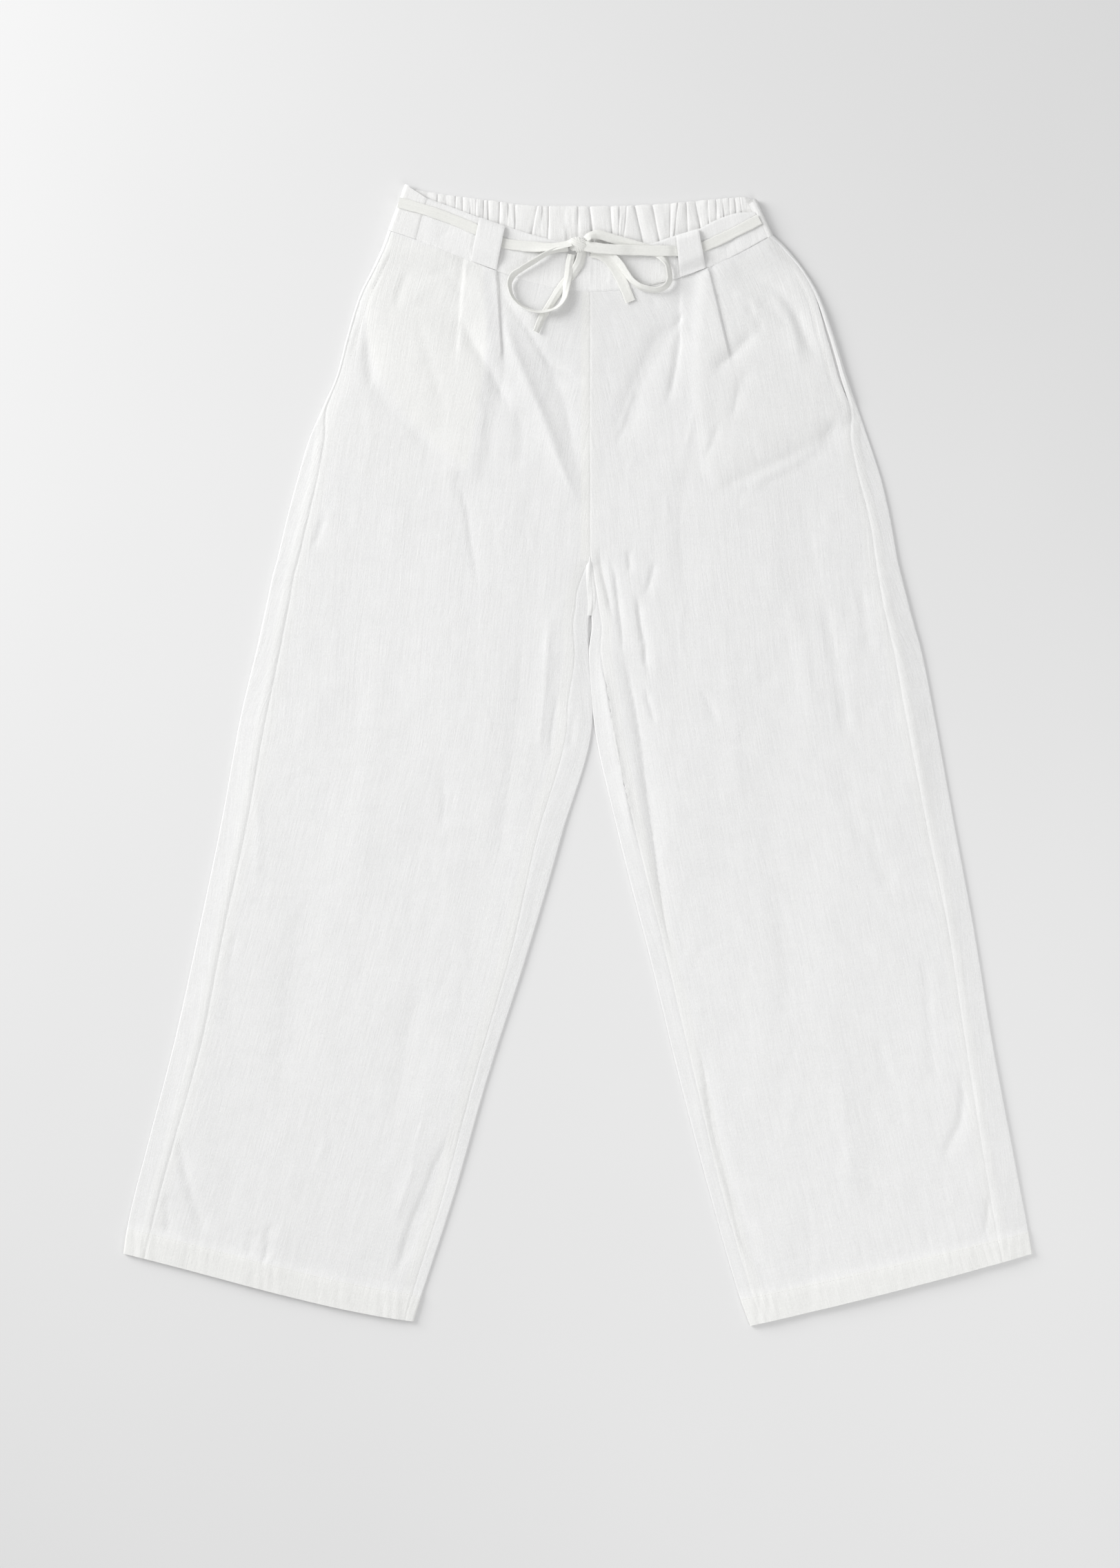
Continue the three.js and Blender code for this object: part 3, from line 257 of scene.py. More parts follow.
# Rows from the hem up: the outline at the outer and inner edge, how far the side seam and the inseam lie in
# from those edges, how open the pocket mouth is, whether the back still rolls round the inner edge, how much
# the row bows down, and how far the back's row rises at its inner end.
LEG_COLUMNS = [
    "outer_x", "outer_y", "inner_x", "inner_y", "side", "inseam", "mouth", "roll", "bow", "back_rise",
]
LEGS = {
    "right": [
        (-415.0, -453.5, -150.0, -515.5, 20, 8, 0, 1, -4, 0),
        (-411.5, -430.0, -142.5, -491.5, 22, 9, 0, 1, -4, 0),
        (-393.0, -355.0, -114.0, -404.5, 23, 10, 0, 1, -3, 0),
        (-367.5, -256.5, -82.5, -294.0, 25, 12, 0, 1, -2, 0),
        (-346.0, -158.5, -47.0, -183.0, 23, 15, 0, 1, -1, 0),
        (-325.5, -59.5, -14.5, -72.0, 24, 22, 0, 1, 0, 0),
        (-307.5, 38.5, 13.6, 38.5, 24, 23, 0, 1, 0, 0),
        (-293.5, 97.0, 10.0, 95.5, 22, 13, 0, 1, 0, 0),
        (-288.4, 120.0, 9.7, 119.5, 21.5, 14, 0, 1, 0, 0),
        (-283.5, 142.5, 12.2, 142.5, 21, 14, 0, 1, 0, 0),
        (-278.0, 168.0, 11.8, 168.0, 20, 6.5, 0, 1, 0, 0),
        (-276.0, 174.5, 11.3, 174.5, 20, 3, 0, 1, 0, 0),
        (-275.0, 178.0, 10.95, 178.0, 20, 0.15, 0, 0, 0, 0),
        (-267.0, 212.0, 10.95, 212.0, 20, 0.15, 0, 0, 0, 0),
        (-257.0, 250.0, 10.95, 250.0, 19, 0.15, 0, 0, 0, 0),
        (-246.0, 287.5, 10.95, 287.5, 15, 0.15, 0, 0, 0, 0),
        (-232.0, 320.5, 10.95, 319.0, 4, 0.15, 0, 0, 0, 3),
        (-220.5, 347.0, 10.95, 341.0, 3, 0.15, 0, 0, -1, 8),
        (-211.0, 383.0, 10.95, 364.0, 3, 0.15, 0, 0, -2, 16),
        (-199.5, 420.5, 10.95, 388.0, 3, 0.15, 0, 0, -4, 25),
        (-187.5, 445.0, 10.95, 403.0, 3, 0.15, 0, 0, -5.5, 31),
        (-177.5, 467.5, 10.95, 416.5, 3, 0.15, 0, 0, -7, 35),
        (-173.5, 479.5, 10.95, 424.0, 3, 0.15, 0, 0, -7.5, 37),
    ],
    "left": [
        (415.0, -453.5, 157.0, -519.5, 29, 12, 0, 1, -2, 0),
        (411.5, -433.5, 148.0, -495.0, 29, 12, 0, 1, -2, 0),
        (398.0, -362.5, 122.0, -405.0, 28, 11, 0, 1, -1, 0),
        (378.0, -256.5, 92.5, -294.0, 25, 14, 0, 1, 0, 0),
        (362.0, -158.5, 65.5, -183.0, 24, 15, 0, 1, 0, 0),
        (343.5, -59.5, 37.0, -72.0, 26, 16, 0, 1, 0, 0),
        (325.5, 38.5, 13.7, 38.5, 27, 16, 0, 1, 0, 0),
        (313.5, 98.5, 9.8, 95.5, 26, 11, 0, 1, 0, 0),
        (307.2, 120.8, 12.6, 119.5, 25, 9, 0, 1, 0, 0),
        (301.5, 142.5, 11.0, 142.5, 24, 7, 0, 1, 0, 0),
        (295.0, 168.0, 10.4, 168.0, 22, 3.5, 0, 1, 0, 0),
        (293.3, 174.5, 10.9, 174.5, 21.5, 1.6, 0, 1, 0, 0),
        (292.5, 178.0, 11.25, 178.0, 21, 0.15, 0, 0, 0, 0),
        (286.5, 212.0, 11.25, 212.0, 20, 0.15, 0, 0, 0, 0),
        (278.0, 250.0, 11.25, 250.0, 21, 0.15, 0, 0, 0, 0),
        (266.0, 287.5, 11.25, 287.5, 17, 0.15, 0, 0, 0, 0),
        (255.5, 318.0, 11.25, 319.0, 7, 0.15, 0.5, 0, 0, 3),
        (245.5, 347.0, 11.25, 341.0, 5, 0.15, 3.5, 0, -1.5, 8),
        (234.5, 382.5, 11.25, 364.0, 4, 0.15, 3.5, 0, -4, 16),
        (220.5, 420.5, 11.25, 388.0, 3.5, 0.15, 1, 0, -7, 25),
        (206.5, 444.0, 11.25, 403.0, 3, 0.15, 0, 0, -9, 31),
        (188.5, 466.0, 11.25, 416.5, 3, 0.15, 0, 0, -11.5, 35),
        (178.0, 475.5, 11.25, 424.0, 3, 0.15, 0, 0, -12.5, 37),
    ],
}
SIDES = ["right", "left"]

# Two stitched tucks a leg, outer and inner, each from the waist seam to the end of its stitching.
TUCKS = {
    "right": [(-103.0, 452.0, -109.0, 374.5), (-74.0, 441.0, -69.5, 365.5)],
    "left": [(120.0, 442.0, 136.0, 374.5), (95.0, 433.0, 93.0, 366.0)],
}
TUCK_RISE = 1.7
TUCK_LOW_SHARE = 0.28
TUCK_EDGE = 0.9
TUCK_RELEASE = 30
TUCK_RUN_ON = 1.3
TUCK_OPENED = 12
TUCK_SLOPE = 2.4
TUCK_SHELF = 0.4

# Pocket bags from the waist down: height, outer edge, inner edge.
POCKET_BAGS = {
    "right": [
        (466, -168, -135), (440, -181, -93), (407, -189, -88), (376, -190, -82),
        (344, -184, -80), (313, -167, -87), (287, -146, -92), (264, -118, -98),
    ],
    "left": [
        (461, 172, 150), (437, 205, 118), (407, 220, 116), (376, 231, 114), (344, 240, 114),
        (313, 243, 116), (287, 220, 119), (264, 190, 123), (250, 160, 130),
    ],
}
BAG_LIFT = 1.4
BAG_EDGE = 14

# Where a pocket bag shows through the front panel: how much whiter the cloth looks over it, and the outline.
# The right leg's second, stronger outline runs along the big crease over the bag, and the extra whiteness
# there is painted light on the cloth above that crease.
BAG_SHOWS_AND_PAINTED_LIGHT = {
    "right": [
        (0.2, [
            (-226.8, 290.1), (-212.9, 270), (-195.3, 251.1), (-165.7, 239.7), (-131, 244.8),
            (-101.4, 263.7), (-88.8, 330.4), (-83.2, 375.8), (-86.9, 451.4), (-175.1, 476.6), (-212.9, 363.2),
        ]),
        # Painted light: the cloth above the big crease is made whiter than the rest of the bag.
        (0.8, [
            (-193, 390), (-188, 362), (-178, 341), (-164, 322), (-149, 303), (-131.4, 286), (-116, 274),
            (-101.4, 264.5), (-88.8, 330.4), (-83.2, 375.8), (-86.9, 451.4), (-175.1, 476.6), (-192, 430),
        ]),
    ],
    "left": [
        (0.2, [
            (243.2, 311.5), (225.5, 287), (177.7, 261.8), (131, 241.6), (113.4, 275), (105.8, 338),
            (109.6, 438.8), (158.8, 457.7), (202.9, 451.4), (225.5, 394.7),
        ]),
    ],
}

# The front's creases: points along each, rise above the cloth, reach each side and lean, in which a plus
# sign makes the slope on the crease's right-hand side the steeper one.
FRONT_CREASES = {
    "right": [
        ([(-191.5, 419.9), (-193.4, 388.4), (-190.9, 353.7), (-177.7, 325.4), (-151.8, 295.2),
         (-124.7, 270.6), (-92, 249.8)], -2.1, 19, 0.6),
        ([(-193.4, 382.1), (-192.2, 360), (-189, 336.7)], -1.1, 7, 0.6),
        ([(-109.6, 406), (-99.5, 383.4), (-85.7, 359.4), (-73.1, 338), (-60.5, 312.8)], -2.2, 13, 0.1),
        ([(-151.2, 414.9), (-129.8, 409.8), (-107.1, 397.2)], -1.1, 8, 0.6),
        ([(-149.9, 404.1), (-143, 380.8), (-134.8, 353.7), (-128.5, 325.4),
         (-122.2, 287.6)], -0.79, 6, 0.6),
        ([(-155, 443.8), (-163.8, 423), (-167.6, 404.1)], -0.88, 7, 0.6),
        ([(-122.2, 437.5), (-113.4, 431.2), (-104.6, 425.6)], -0.88, 4, 0.3),
        ([(-71.8, 419.9), (-63, 385.2), (-50.4, 352.5), (-35.9, 319.1), (-23.3, 287.6),
         (-10.1, 254.8), (5, 223.3)], 2.1, 13, -0.3),
        ([(-37.2, 375.8), (-23.9, 350.6), (-11.3, 317.8), (-5, 284.4), (0, 256.1)], -1.6, 20, 0.1),
        ([(-74.3, 429.3), (-63, 410.4), (-46.6, 388.4), (-30.2, 362.6), (-16.4, 348.1),
         (8.8, 338.6)], -1.1, 5.5, 0.6),
        ([(-33, 365), (-20, 353), (-8, 345.5), (9, 340)], -1.4, 3.2, 0.3),
        ([(-110.9, 249.8), (-102.1, 224.6), (-98.3, 193.1), (-90.7, 149)], -0.79, 7, 0.6),
        ([(-56.7, 319.1), (-52.9, 287.6), (-60.5, 256.1)], -0.7, 12, 0.6),
        ([(-76.9, 363.2), (-79.4, 338), (-78.8, 312.8)], -0.79, 3.5, 0.3),
        ([(-83.2, 375.8), (-83.8, 356.9), (-83.2, 338)], 0.61, 3, 0),
        ([(-3.8, 41.9), (-6.3, 23), (-8.2, 2.8)], -0.88, 4, 0.3),
        ([(-25.2, 136.4), (-28.4, 92.3), (-32.1, 41.9), (-36.5, -2.2)], 0.96, 9, 0),
        ([(-18.9, 60.8), (-23.9, 29.3), (-27.1, -8.5)], -0.7, 6, 0.6),
        ([(-231.8, 221.4), (-236.9, 205.7), (-243.2, 186.8)], -1.1, 6, 0.6),
        ([(-365.4, -342.4), (-362.2, -367.6), (-355.3, -396), (-345.9, -424.3),
         (-337.7, -439.4)], -1.6, 8, 0.6),
        ([(-378, -397.8), (-374.9, -419.3), (-376.7, -440.1)], -0.88, 8, 0.6),
        ([(-281, -423), (-284.8, -443.2), (-286, -467.1)], -1.1, 5, 0.6),
        ([(-297.4, -430.6), (-298.6, -443.2), (-301.1, -457.1)], -0.7, 6, 0.6),
        ([(-117.2, -339.9), (-128.5, -370.8), (-138.6, -397.8), (-149.9, -424.3), (-160, -452.7),
         (-168.2, -481)], -2.2, 12, 0.6),
        ([(-147.4, -367.6), (-156.2, -392.8), (-167.6, -424.3)], 0.79, 12, 0),
        ([(-200.3, -166), (-197.8, -191.2), (-200.3, -216.4)], -0.61, 14, 0.6),
        ([(-202.9, 86), (-204.1, 54.5), (-200.3, 23)], -0.61, 10, 0.6),
        ([(-124.7, -14.8), (-122.8, -43.2), (-126, -71.5)], -0.61, 8, 0.6),
        ([(-296.1, -27.4), (-291.7, -58.9), (-292.3, -96.7), (-296.1, -134.5)], 0.7, 5, 0),
        ([(-311.2, -153.4), (-316.3, -178.6), (-320, -203.8)], -0.79, 4, 0.3),
        ([(-49.1, 123.8), (-61.7, -2.2), (-79.4, -128.2)], -0.88, 26, 0.6),
        ([(-175.1, 123.8), (-194, -33.7), (-203.5, -159.7)], 0.88, 34, 0),
        ([(-244.4, -96.7), (-263.3, -203.8), (-275.9, -317.2)], -0.88, 30, 0.6),
        ([(-143.6, -191.2), (-159.4, -273.1), (-175.1, -367.6)], -0.79, 28, 0.6),
        ([(-86.9, 338), (-83.2, 312.8), (-86.9, 281.3)], -0.7, 9, 0.6),
        ([(-114.7, 448.2), (-124.7, 441.9), (-149.9, 437.5)], -0.53, 6, 0.6),
    ],
    "left": [
        ([(95.8, 399.7), (78.1, 383.4), (64.3, 360.7), (53.5, 336.7), (46, 309.6),
         (32.8, 278.1)], -2.3, 16, 0.1),
        ([(60.5, 355.6), (50.4, 331.7), (43.5, 311.5), (36.5, 292.6)], 1.1, 3.6, 0),
        ([(96.4, 406), (90.7, 394.7), (83.2, 388.4)], -1.1, 4.5, 0.3),
        ([(94.5, 396), (90.7, 369.5), (86.3, 344.3), (79.4, 317.8)], -1.6, 7, 0.6),
        ([(163.8, 390.9), (149.9, 375.8), (136.1, 363.2), (121, 346.2)], -1.9, 11, 0.2),
        ([(148, 421), (154.3, 411.7), (159.5, 402.5), (165, 391), (168, 381)], -1.3, 2.6, 0.3),
        ([(129.8, 441.9), (155.6, 436.9), (177.7, 427.5), (193.4, 410.4), (207, 387.1),
         (219, 353)], -2.1, 19, -0.2),
        ([(195.3, 408.6), (202.9, 389.7), (212.9, 364.5)], -0.9, 9, 0.2),
        ([(172, 428), (188, 407), (198, 382), (203, 354)], 1.6, 16, 0),
        ([(158.8, 413.6), (178.9, 403.5), (196.6, 388.4)], -0.96, 5, 0.6),
        ([(139.9, 423), (155.6, 418.6), (171.4, 411.1)], 0.88, 6, 0),
        ([(155.6, 356.9), (146.2, 333), (140.5, 303.3)], -0.9, 9, 0.3),
        ([(127.9, 305.2), (122.2, 287.6), (114.7, 270)], -0.88, 6, 0.6),
        ([(105.2, 315.3), (102.7, 298.9), (98.9, 281.3)], 0.61, 3.5, 0),
        ([(244.4, 315.3), (235, 302.7), (223.7, 289.5), (201.6, 277.5), (172.6, 263.7), (133.6, 246),
         (104.6, 234.7)], -1.8, 17, 0),
        ([(236.9, 309), (230.6, 296.4), (220.5, 286.3)], -0.9, 12, 0.2),
        ([(205.4, 240.3), (208.5, 205.7), (214.2, 179.2), (217.3, 156.6)], -0.88, 3.6, 0.3),
        ([(17.6, 191.8), (21.4, 169.2), (26.5, 147.7), (31.5, 123.8)], -1.4, 7, 0.6),
        ([(28.4, 183), (34, 156.6), (37.8, 123.8), (41.6, 87.3)], -1.4, 6, 0.6),
        ([(44.7, 189.3), (46.6, 179.2), (47.2, 166.6)], -1.1, 4.5, 0.3),
        ([(69.3, 179.2), (66.2, 162.9), (60.5, 147.7)], -1.1, 5, 0.6),
        ([(52.9, 150.3), (55.4, 126.9), (59.2, 103.6), (63, 67.1)], -1.9, 5.5, 0.6),
        ([(60.5, 62.1), (64.9, 46.9), (70.6, 29.3)], -1.2, 4.5, 0.3),
        ([(37.8, 104.9), (46.6, 67.1), (54.8, 23), (60.5, -21.1), (68, -77.8), (78.1, -147.1),
         (92.6, -203.8)], -2.1, 13, 0.6),
        ([(18.9, 98.6), (26.5, 57.6), (35.3, 10.4), (44.7, -40), (56.7, -96.7)], 1.4, 7, -0.5),
        ([(167.6, 82.8), (171.4, 72.1), (177, 58.9)], -0.88, 3.6, 0.3),
        ([(110.9, 63.9), (118.4, 48.2), (128.5, 29.3)], -0.79, 4, 0.3),
        ([(217.3, 155.3), (225.5, 123.8), (231.8, 92.3), (236.9, 60.8), (243.2, 29.3),
         (250.7, -2.2)], -1.8, 5.5, 0.6),
        ([(193.4, 155.3), (201.6, 111.2), (209.8, 60.8), (215.5, 16.7)], 1.1, 11, 0),
        ([(237.5, 7.2), (243.8, -27.4), (250.7, -60.2), (260.8, -90.4)], -1.6, 5.5, 0.6),
        ([(256.4, 158.4), (260.2, 126.9), (264.6, 89.1)], -0.88, 5, 0.6),
        ([(262.7, -62.1), (272.2, -93.6), (286, -125.1)], -1.1, 10, 0.6),
        ([(310, -172.3), (316.9, -213.3), (321.3, -273.1), (330.1, -310.9)], -1.1, 6, 0.6),
        ([(233.1, -147.1), (243.8, -166), (267.1, -186.2)], -0.88, 9, 0.6),
        ([(270.9, -249.2), (279.7, -284.4), (289.2, -317.2), (299.2, -355)], -0.96, 4.2, 0.3),
        ([(345.2, -278.1), (350.3, -310.9), (347.8, -333), (336.4, -356.3), (332, -377.1)], -1.4, 8, 0.6),
        ([(374.2, -399.1), (373, -419.3), (369.2, -440.1)], -0.88, 6, 0.6),
        ([(207.3, -404.1), (211.7, -436.9), (212.3, -476)], -0.79, 3.6, 0.3),
        ([(312.5, -414.9), (317.5, -433.8), (318.8, -450.8)], -0.79, 3.6, 0.3),
        ([(109.6, -251.7), (115.9, -298.3), (123.5, -342.4), (134.8, -383.4), (143.6, -414.9),
         (153.7, -449.5), (170.1, -481)], -2.1, 9, 0.6),
        ([(139.9, -408.6), (156.2, -448.2), (178.9, -484.8)], -1.2, 14, 0.6),
        ([(127.3, 149), (141.1, 29.3), (151.2, -90.4)], 0.88, 32, 0),
        ([(171.4, -33.7), (182.7, -147.1), (196.6, -266.8)], -0.88, 34, 0.6),
        ([(231.2, -241.6), (243.8, -329.8), (252, -418)], 0.88, 26, 0),
        ([(284.8, 142.7), (306.8, 23), (322.6, -84.1)], 0.88, 18, 0),
        ([(102.1, 287.6), (92.6, 212), (95.8, 136.4)], -0.7, 24, 0.6),
        ([(184, 249.8), (177.7, 186.8), (182.7, 123.8)], 0.61, 24, 0),
        ([(58, 426.2), (66.8, 418.6), (71.8, 407.3)], -0.61, 7, 0.6),
    ],
}

# The back's creases, on the side that lies on the surface: the same kind, none higher than it can be there.
BACK_CREASES = {
    "right": [
        ([(-60, 400), (-40, 330), (-20, 260)], 0.7, 14, 0.3),
        ([(-130, 420), (-110, 350), (-104, 280)], 0.6, 12, -0.3),
        ([(-20, 130), (-50, 20), (-70, -80)], 0.8, 13, 0.4),
        ([(-10, 160), (-60, 120), (-110, 70)], 0.7, 12, 0.3),
        ([(-230, 160), (-250, 40), (-270, -60)], 0.5, 18, 0),
        ([(-120, -80), (-150, -210), (-160, -330)], 0.6, 20, 0.2),
        ([(-230, -240), (-270, -340), (-290, -450)], 0.7, 14, 0.3),
        ([(-330, -330), (-350, -390), (-370, -440)], 0.5, 10, 0),
        ([(-170, 250), (-190, 170), (-200, 90)], 0.5, 22, 0),
    ],
    "left": [
        ([(50, 410), (36, 330), (22, 260)], 0.7, 13, 0.3),
        ([(140, 430), (120, 350), (118, 270)], 0.6, 12, -0.3),
        ([(30, 130), (50, 20), (80, -90)], 0.8, 12, 0.4),
        ([(14, 165), (70, 130), (120, 90)], 0.6, 12, 0.3),
        ([(250, 180), (262, 70), (290, -40)], 0.5, 18, 0),
        ([(130, -60), (170, -200), (180, -330)], 0.6, 20, 0.2),
        ([(240, -230), (262, -330), (300, -440)], 0.7, 14, 0.3),
        ([(340, -300), (352, -370), (380, -430)], 0.5, 10, 0),
        ([(190, 260), (205, 170), (215, 80)], 0.5, 22, 0),
    ],
}
# Every crease: how much of the listed rise it has, over which share of its length it fades out at each end,
# how far a lean of one tips it, and its section in widths: how wide one is in reaches, how steeply it falls,
# how round its top is and where it ends.
CREASE_SHARE = 1.1
CREASE_FADE = 0.26
CREASE_LEAN = 0.8
CREASE_WIDTH = 0.55
CREASE_STEEP = 1.35
CREASE_ROUND = 0.2
CREASE_END = 3.3
# The waves of washed cloth: length and rise of each kind, how many of each, how much longer along the leg,
# and the seed of each part's cloth.
WAVES = [(24, 0.07), (55, 0.18), (120, 0.34)]
WAVE_COUNT = 9
WAVE_STRETCH = 0.35
WAVE_SEEDS = {"front": 5, "back": 9, "bag": 31, "band": 41, "casing": 51, "loop": 61}
# The small wrinkles of each front: how many, how far they turn and bend, and their smallest and largest
# lengths, rises and reaches.
WRINKLES = 110
WRINKLE_SPREAD = 17
WRINKLE_BEND = 0.12
WRINKLE_LENGTHS = (18, 80)
WRINKLE_RISES = (0.12, 0.32)
WRINKLE_REACHES = (2.8, 6)


def lerp(start, end, share):
    """Straight mix of two values."""
    return start + (end - start) * share


def smooth(start, end, value):
    """Nought before start, one after end, and a soft step between."""
    share = np.clip((value - start) / (end - start), 0, 1)
    return share * share * (3 - 2 * share)


def bell(distance, width):
    """One at nought, and falling off softly to both sides."""
    return np.exp(-(distance / width) ** 2)


def run_of(points):
    """How far each point is from the first, along the line through them."""
    return np.concatenate([[0], np.cumsum(np.linalg.norm(np.diff(points, axis=0), axis=1))])


def curve_through(at, values, where):
    """A smooth curve through listed values that never swings past them."""
    at = np.asarray(at, float)
    values = np.asarray(values, float)
    step = np.diff(at)
    slope = np.diff(values) / step
    tangent = np.zeros(len(values))
    tangent[0], tangent[-1] = slope[0], slope[-1]
    together = slope[:-1] * slope[1:] > 0
    inner = np.zeros(len(slope) - 1)
    inner[together] = 2 * slope[:-1][together] * slope[1:][together] / (slope[:-1] + slope[1:])[together]
    tangent[1:-1] = inner
    i = np.clip(np.searchsorted(at, where, side="right") - 1, 0, len(step) - 1)
    t = (where - at[i]) / step[i]
    return (
        (1 + 2 * t) * (1 - t) ** 2 * values[i]
        + t * (1 - t) ** 2 * step[i] * tangent[i]
        + t * t * (3 - 2 * t) * values[i + 1]
        + t * t * (t - 1) * step[i] * tangent[i + 1]
    )


def path_through(points, per_step=10):
    """Points along a smooth line through the listed ones, of any number of columns."""
    points = np.asarray(points, float)
    length = run_of(points[:, :2])
    where = np.interp(
        np.linspace(0, len(points) - 1, (len(points) - 1) * per_step + 1), np.arange(len(points)), length
    )
    return np.column_stack([curve_through(length, column, where) for column in points.T])


def crease_relief(x, y, creases):
    """Height that the listed creases add: each runs along a smooth line and fades out at both ends."""
    relief = np.zeros_like(x)
    for points, rise, reach, lean in creases:
        line = path_through(points)
        margin = 2 * reach
        near = (
            (x > line[:, 0].min() - margin) & (x < line[:, 0].max() + margin)
            & (y > line[:, 1].min() - margin) & (y < line[:, 1].max() + margin)
        )
        if not near.any():
            continue
        across = x[near][:, None] - line[None, :, 0]
        along = y[near][:, None] - line[None, :, 1]
        closest = np.argmin(across ** 2 + along ** 2, axis=1)
        rows = np.arange(len(closest))
        tangent = np.gradient(line, axis=0)
        tangent /= np.linalg.norm(tangent, axis=1)[:, None]
        to_right = across[rows, closest] * tangent[closest, 1] - along[rows, closest] * tangent[closest, 0]
        beyond = across[rows, closest] * tangent[closest, 0] + along[rows, closest] * tangent[closest, 1]
        away = np.hypot(to_right, beyond)
        away /= CREASE_WIDTH * reach * (1 - CREASE_LEAN * lean * np.sign(to_right))
        share = closest / (len(line) - 1)
        fade = smooth(0, CREASE_FADE, share) * smooth(1, 1 - CREASE_FADE, share)
        sharp = np.exp(-CREASE_STEEP * (np.hypot(away, CREASE_ROUND) - CREASE_ROUND))
        relief[near] += CREASE_SHARE * rise * fade * sharp * smooth(CREASE_END, 1.0, away)
    return relief


def washed_waves(x, y, part):
    """The shallow unevenness of washed cloth: seeded waves of a few lengths, longer along the leg."""
    chance = np.random.default_rng(WAVE_SEEDS[part])
    height = np.zeros_like(x)
    for length, rise in WAVES:
        for _ in range(WAVE_COUNT):
            angle = chance.uniform(0, math.tau)
            size = length * chance.uniform(0.7, 1.4)
            phase = chance.uniform(0, math.tau)
            way = (x * math.cos(angle) + WAVE_STRETCH * y * math.sin(angle)) / size
            height += rise / math.sqrt(WAVE_COUNT) * np.sin(way * math.tau + phase)
    return height


def small_wrinkles(seed, low, high):
    """Seeded short faint creases between two corners, most of them near the leg's own direction."""
    chance = np.random.default_rng(seed)
    creases = []
    for _ in range(WRINKLES):
        x = chance.uniform(low[0], high[0])
        y = chance.uniform(low[1], high[1])
        angle = math.radians(90 + chance.normal(0, WRINKLE_SPREAD))
        length = chance.uniform(*WRINKLE_LENGTHS)
        bend = chance.normal(0, WRINKLE_BEND) * length
        dx = math.cos(angle) * length / 2
        dy = math.sin(angle) * length / 2
        line = [(x - dx, y - dy), (x - dy / length * bend * 2, y + dx / length * bend * 2), (x + dx, y + dy)]
        rise = chance.choice([-1, 1]) * chance.uniform(*WRINKLE_RISES)
        creases.append((line, rise, chance.uniform(*WRINKLE_REACHES), 0))
    return creases


def leg_lengths(side):
    """How far each listed row lies from the hem, along the leg's middle."""
    table = np.array(LEGS[side])
    middle = (table[:, 0:2] + table[:, 2:4]) / 2
    return run_of(middle)


def leg_rows(side, along):
    """The leg's listed values at any distances from the hem, a column for each."""
    lengths = leg_lengths(side)
    table = np.array(LEGS[side])
    row = {"side_name": side, "along": np.asarray(along, float)[:, None], "top": lengths[-1]}
    for i, name in enumerate(LEG_COLUMNS):
        row[name] = curve_through(lengths, table[:, i], np.asarray(along, float))[:, None]
    row["length"] = np.hypot(row["inner_x"] - row["outer_x"], row["inner_y"] - row["outer_y"])
    return row


def row_point(row, distance, on_back=False):
    """Where a distance in from the outer edge falls on each row; the back's rows rise to the centre."""
    share = distance / row["length"]
    sag = 27 / 4 * share ** 2 * (1 - share) if row["side_name"] == "right" else 4 * share * (1 - share)
    x = lerp(row["outer_x"], row["inner_x"], share)
    y = lerp(row["outer_y"], row["inner_y"], share)
    front_y = y + row["bow"] * sag
    if not on_back:
        return x, front_y
    return x, lerp(front_y, y + row["back_rise"] * share, smooth(0.06, 0.3, share))


WAIST_ROWS = {side: leg_rows(side, leg_lengths(side)[-1:]) for side in SIDES}


def bag_rise(x, y):
    """The front stands a little higher over a pocket bag and falls off softly round it."""
    rise = np.zeros_like(x)
    for side, sign in (("right", -1), ("left", 1)):
        rows = np.array(POCKET_BAGS[side][::-1], float)
        outer = np.interp(y, rows[:, 0], rows[:, 1])
        inner = np.interp(y, rows[:, 0], rows[:, 2])
        inside = np.abs(outer - inner) / 2 + BAG_EDGE - np.abs(x - (outer + inner) / 2)
        here = smooth(0, BAG_EDGE, inside) * smooth(rows[0, 0] - BAG_EDGE, rows[0, 0], y)
        rise += BAG_LIFT * here * (x * sign > 0)
    return rise


def inside_outline(x, y, corners, blur=1.2):
    """One inside a closed outline, nought outside it, and a short soft step at its edge."""
    inside = np.zeros(x.shape, bool)
    nearest = np.full(x.shape, np.inf)
    for (ax, ay), (bx, by) in zip(corners, corners[1:] + corners[:1]):
        crosses = (ay > y) != (by > y)
        edge_x = ax + (bx - ax) * (y - ay) / (by - ay if by != ay else 1)
        inside ^= crosses & (x < edge_x)
        share = ((x - ax) * (bx - ax) + (y - ay) * (by - ay)) / ((bx - ax) ** 2 + (by - ay) ** 2)
        share = np.clip(share, 0, 1)
        nearest = np.minimum(nearest, np.hypot(x - lerp(ax, bx, share), y - lerp(ay, by, share)))
    return smooth(-blur, blur, np.where(inside, nearest, -nearest))


def tuck_rise(side, x, y):
    """The strip between a leg's two tucks stands up with steep sides, and opens out below the stitching."""
    left, right = sorted(TUCKS[side])

    def line_x(tuck):
        share = np.minimum((tuck[1] - y) / (tuck[1] - tuck[3]), TUCK_RUN_ON)
        return lerp(tuck[0], tuck[2], share)

    end = (left[3] + right[3]) / 2
    held = smooth(end - TUCK_RELEASE, end + 8, y)
    width = lerp(TUCK_EDGE * TUCK_OPENED, TUCK_EDGE, smooth(end - TUCK_RELEASE * 0.6, end, y))
    from_left = x - line_x(left)
    from_right = line_x(right) - x
    wedge = lerp(TUCK_LOW_SHARE, 1, smooth(0, 1, from_left / (from_left + from_right)))
    slopes = smooth(-TUCK_SLOPE * width, TUCK_SLOPE * width, from_left) * smooth(-width, width, from_right)
    shelf = TUCK_SHELF * held * (bell(from_right + 2.4, 3.2) + bell(from_left + 3, 3.5))
    return TUCK_RISE * held * wedge * slopes - shelf


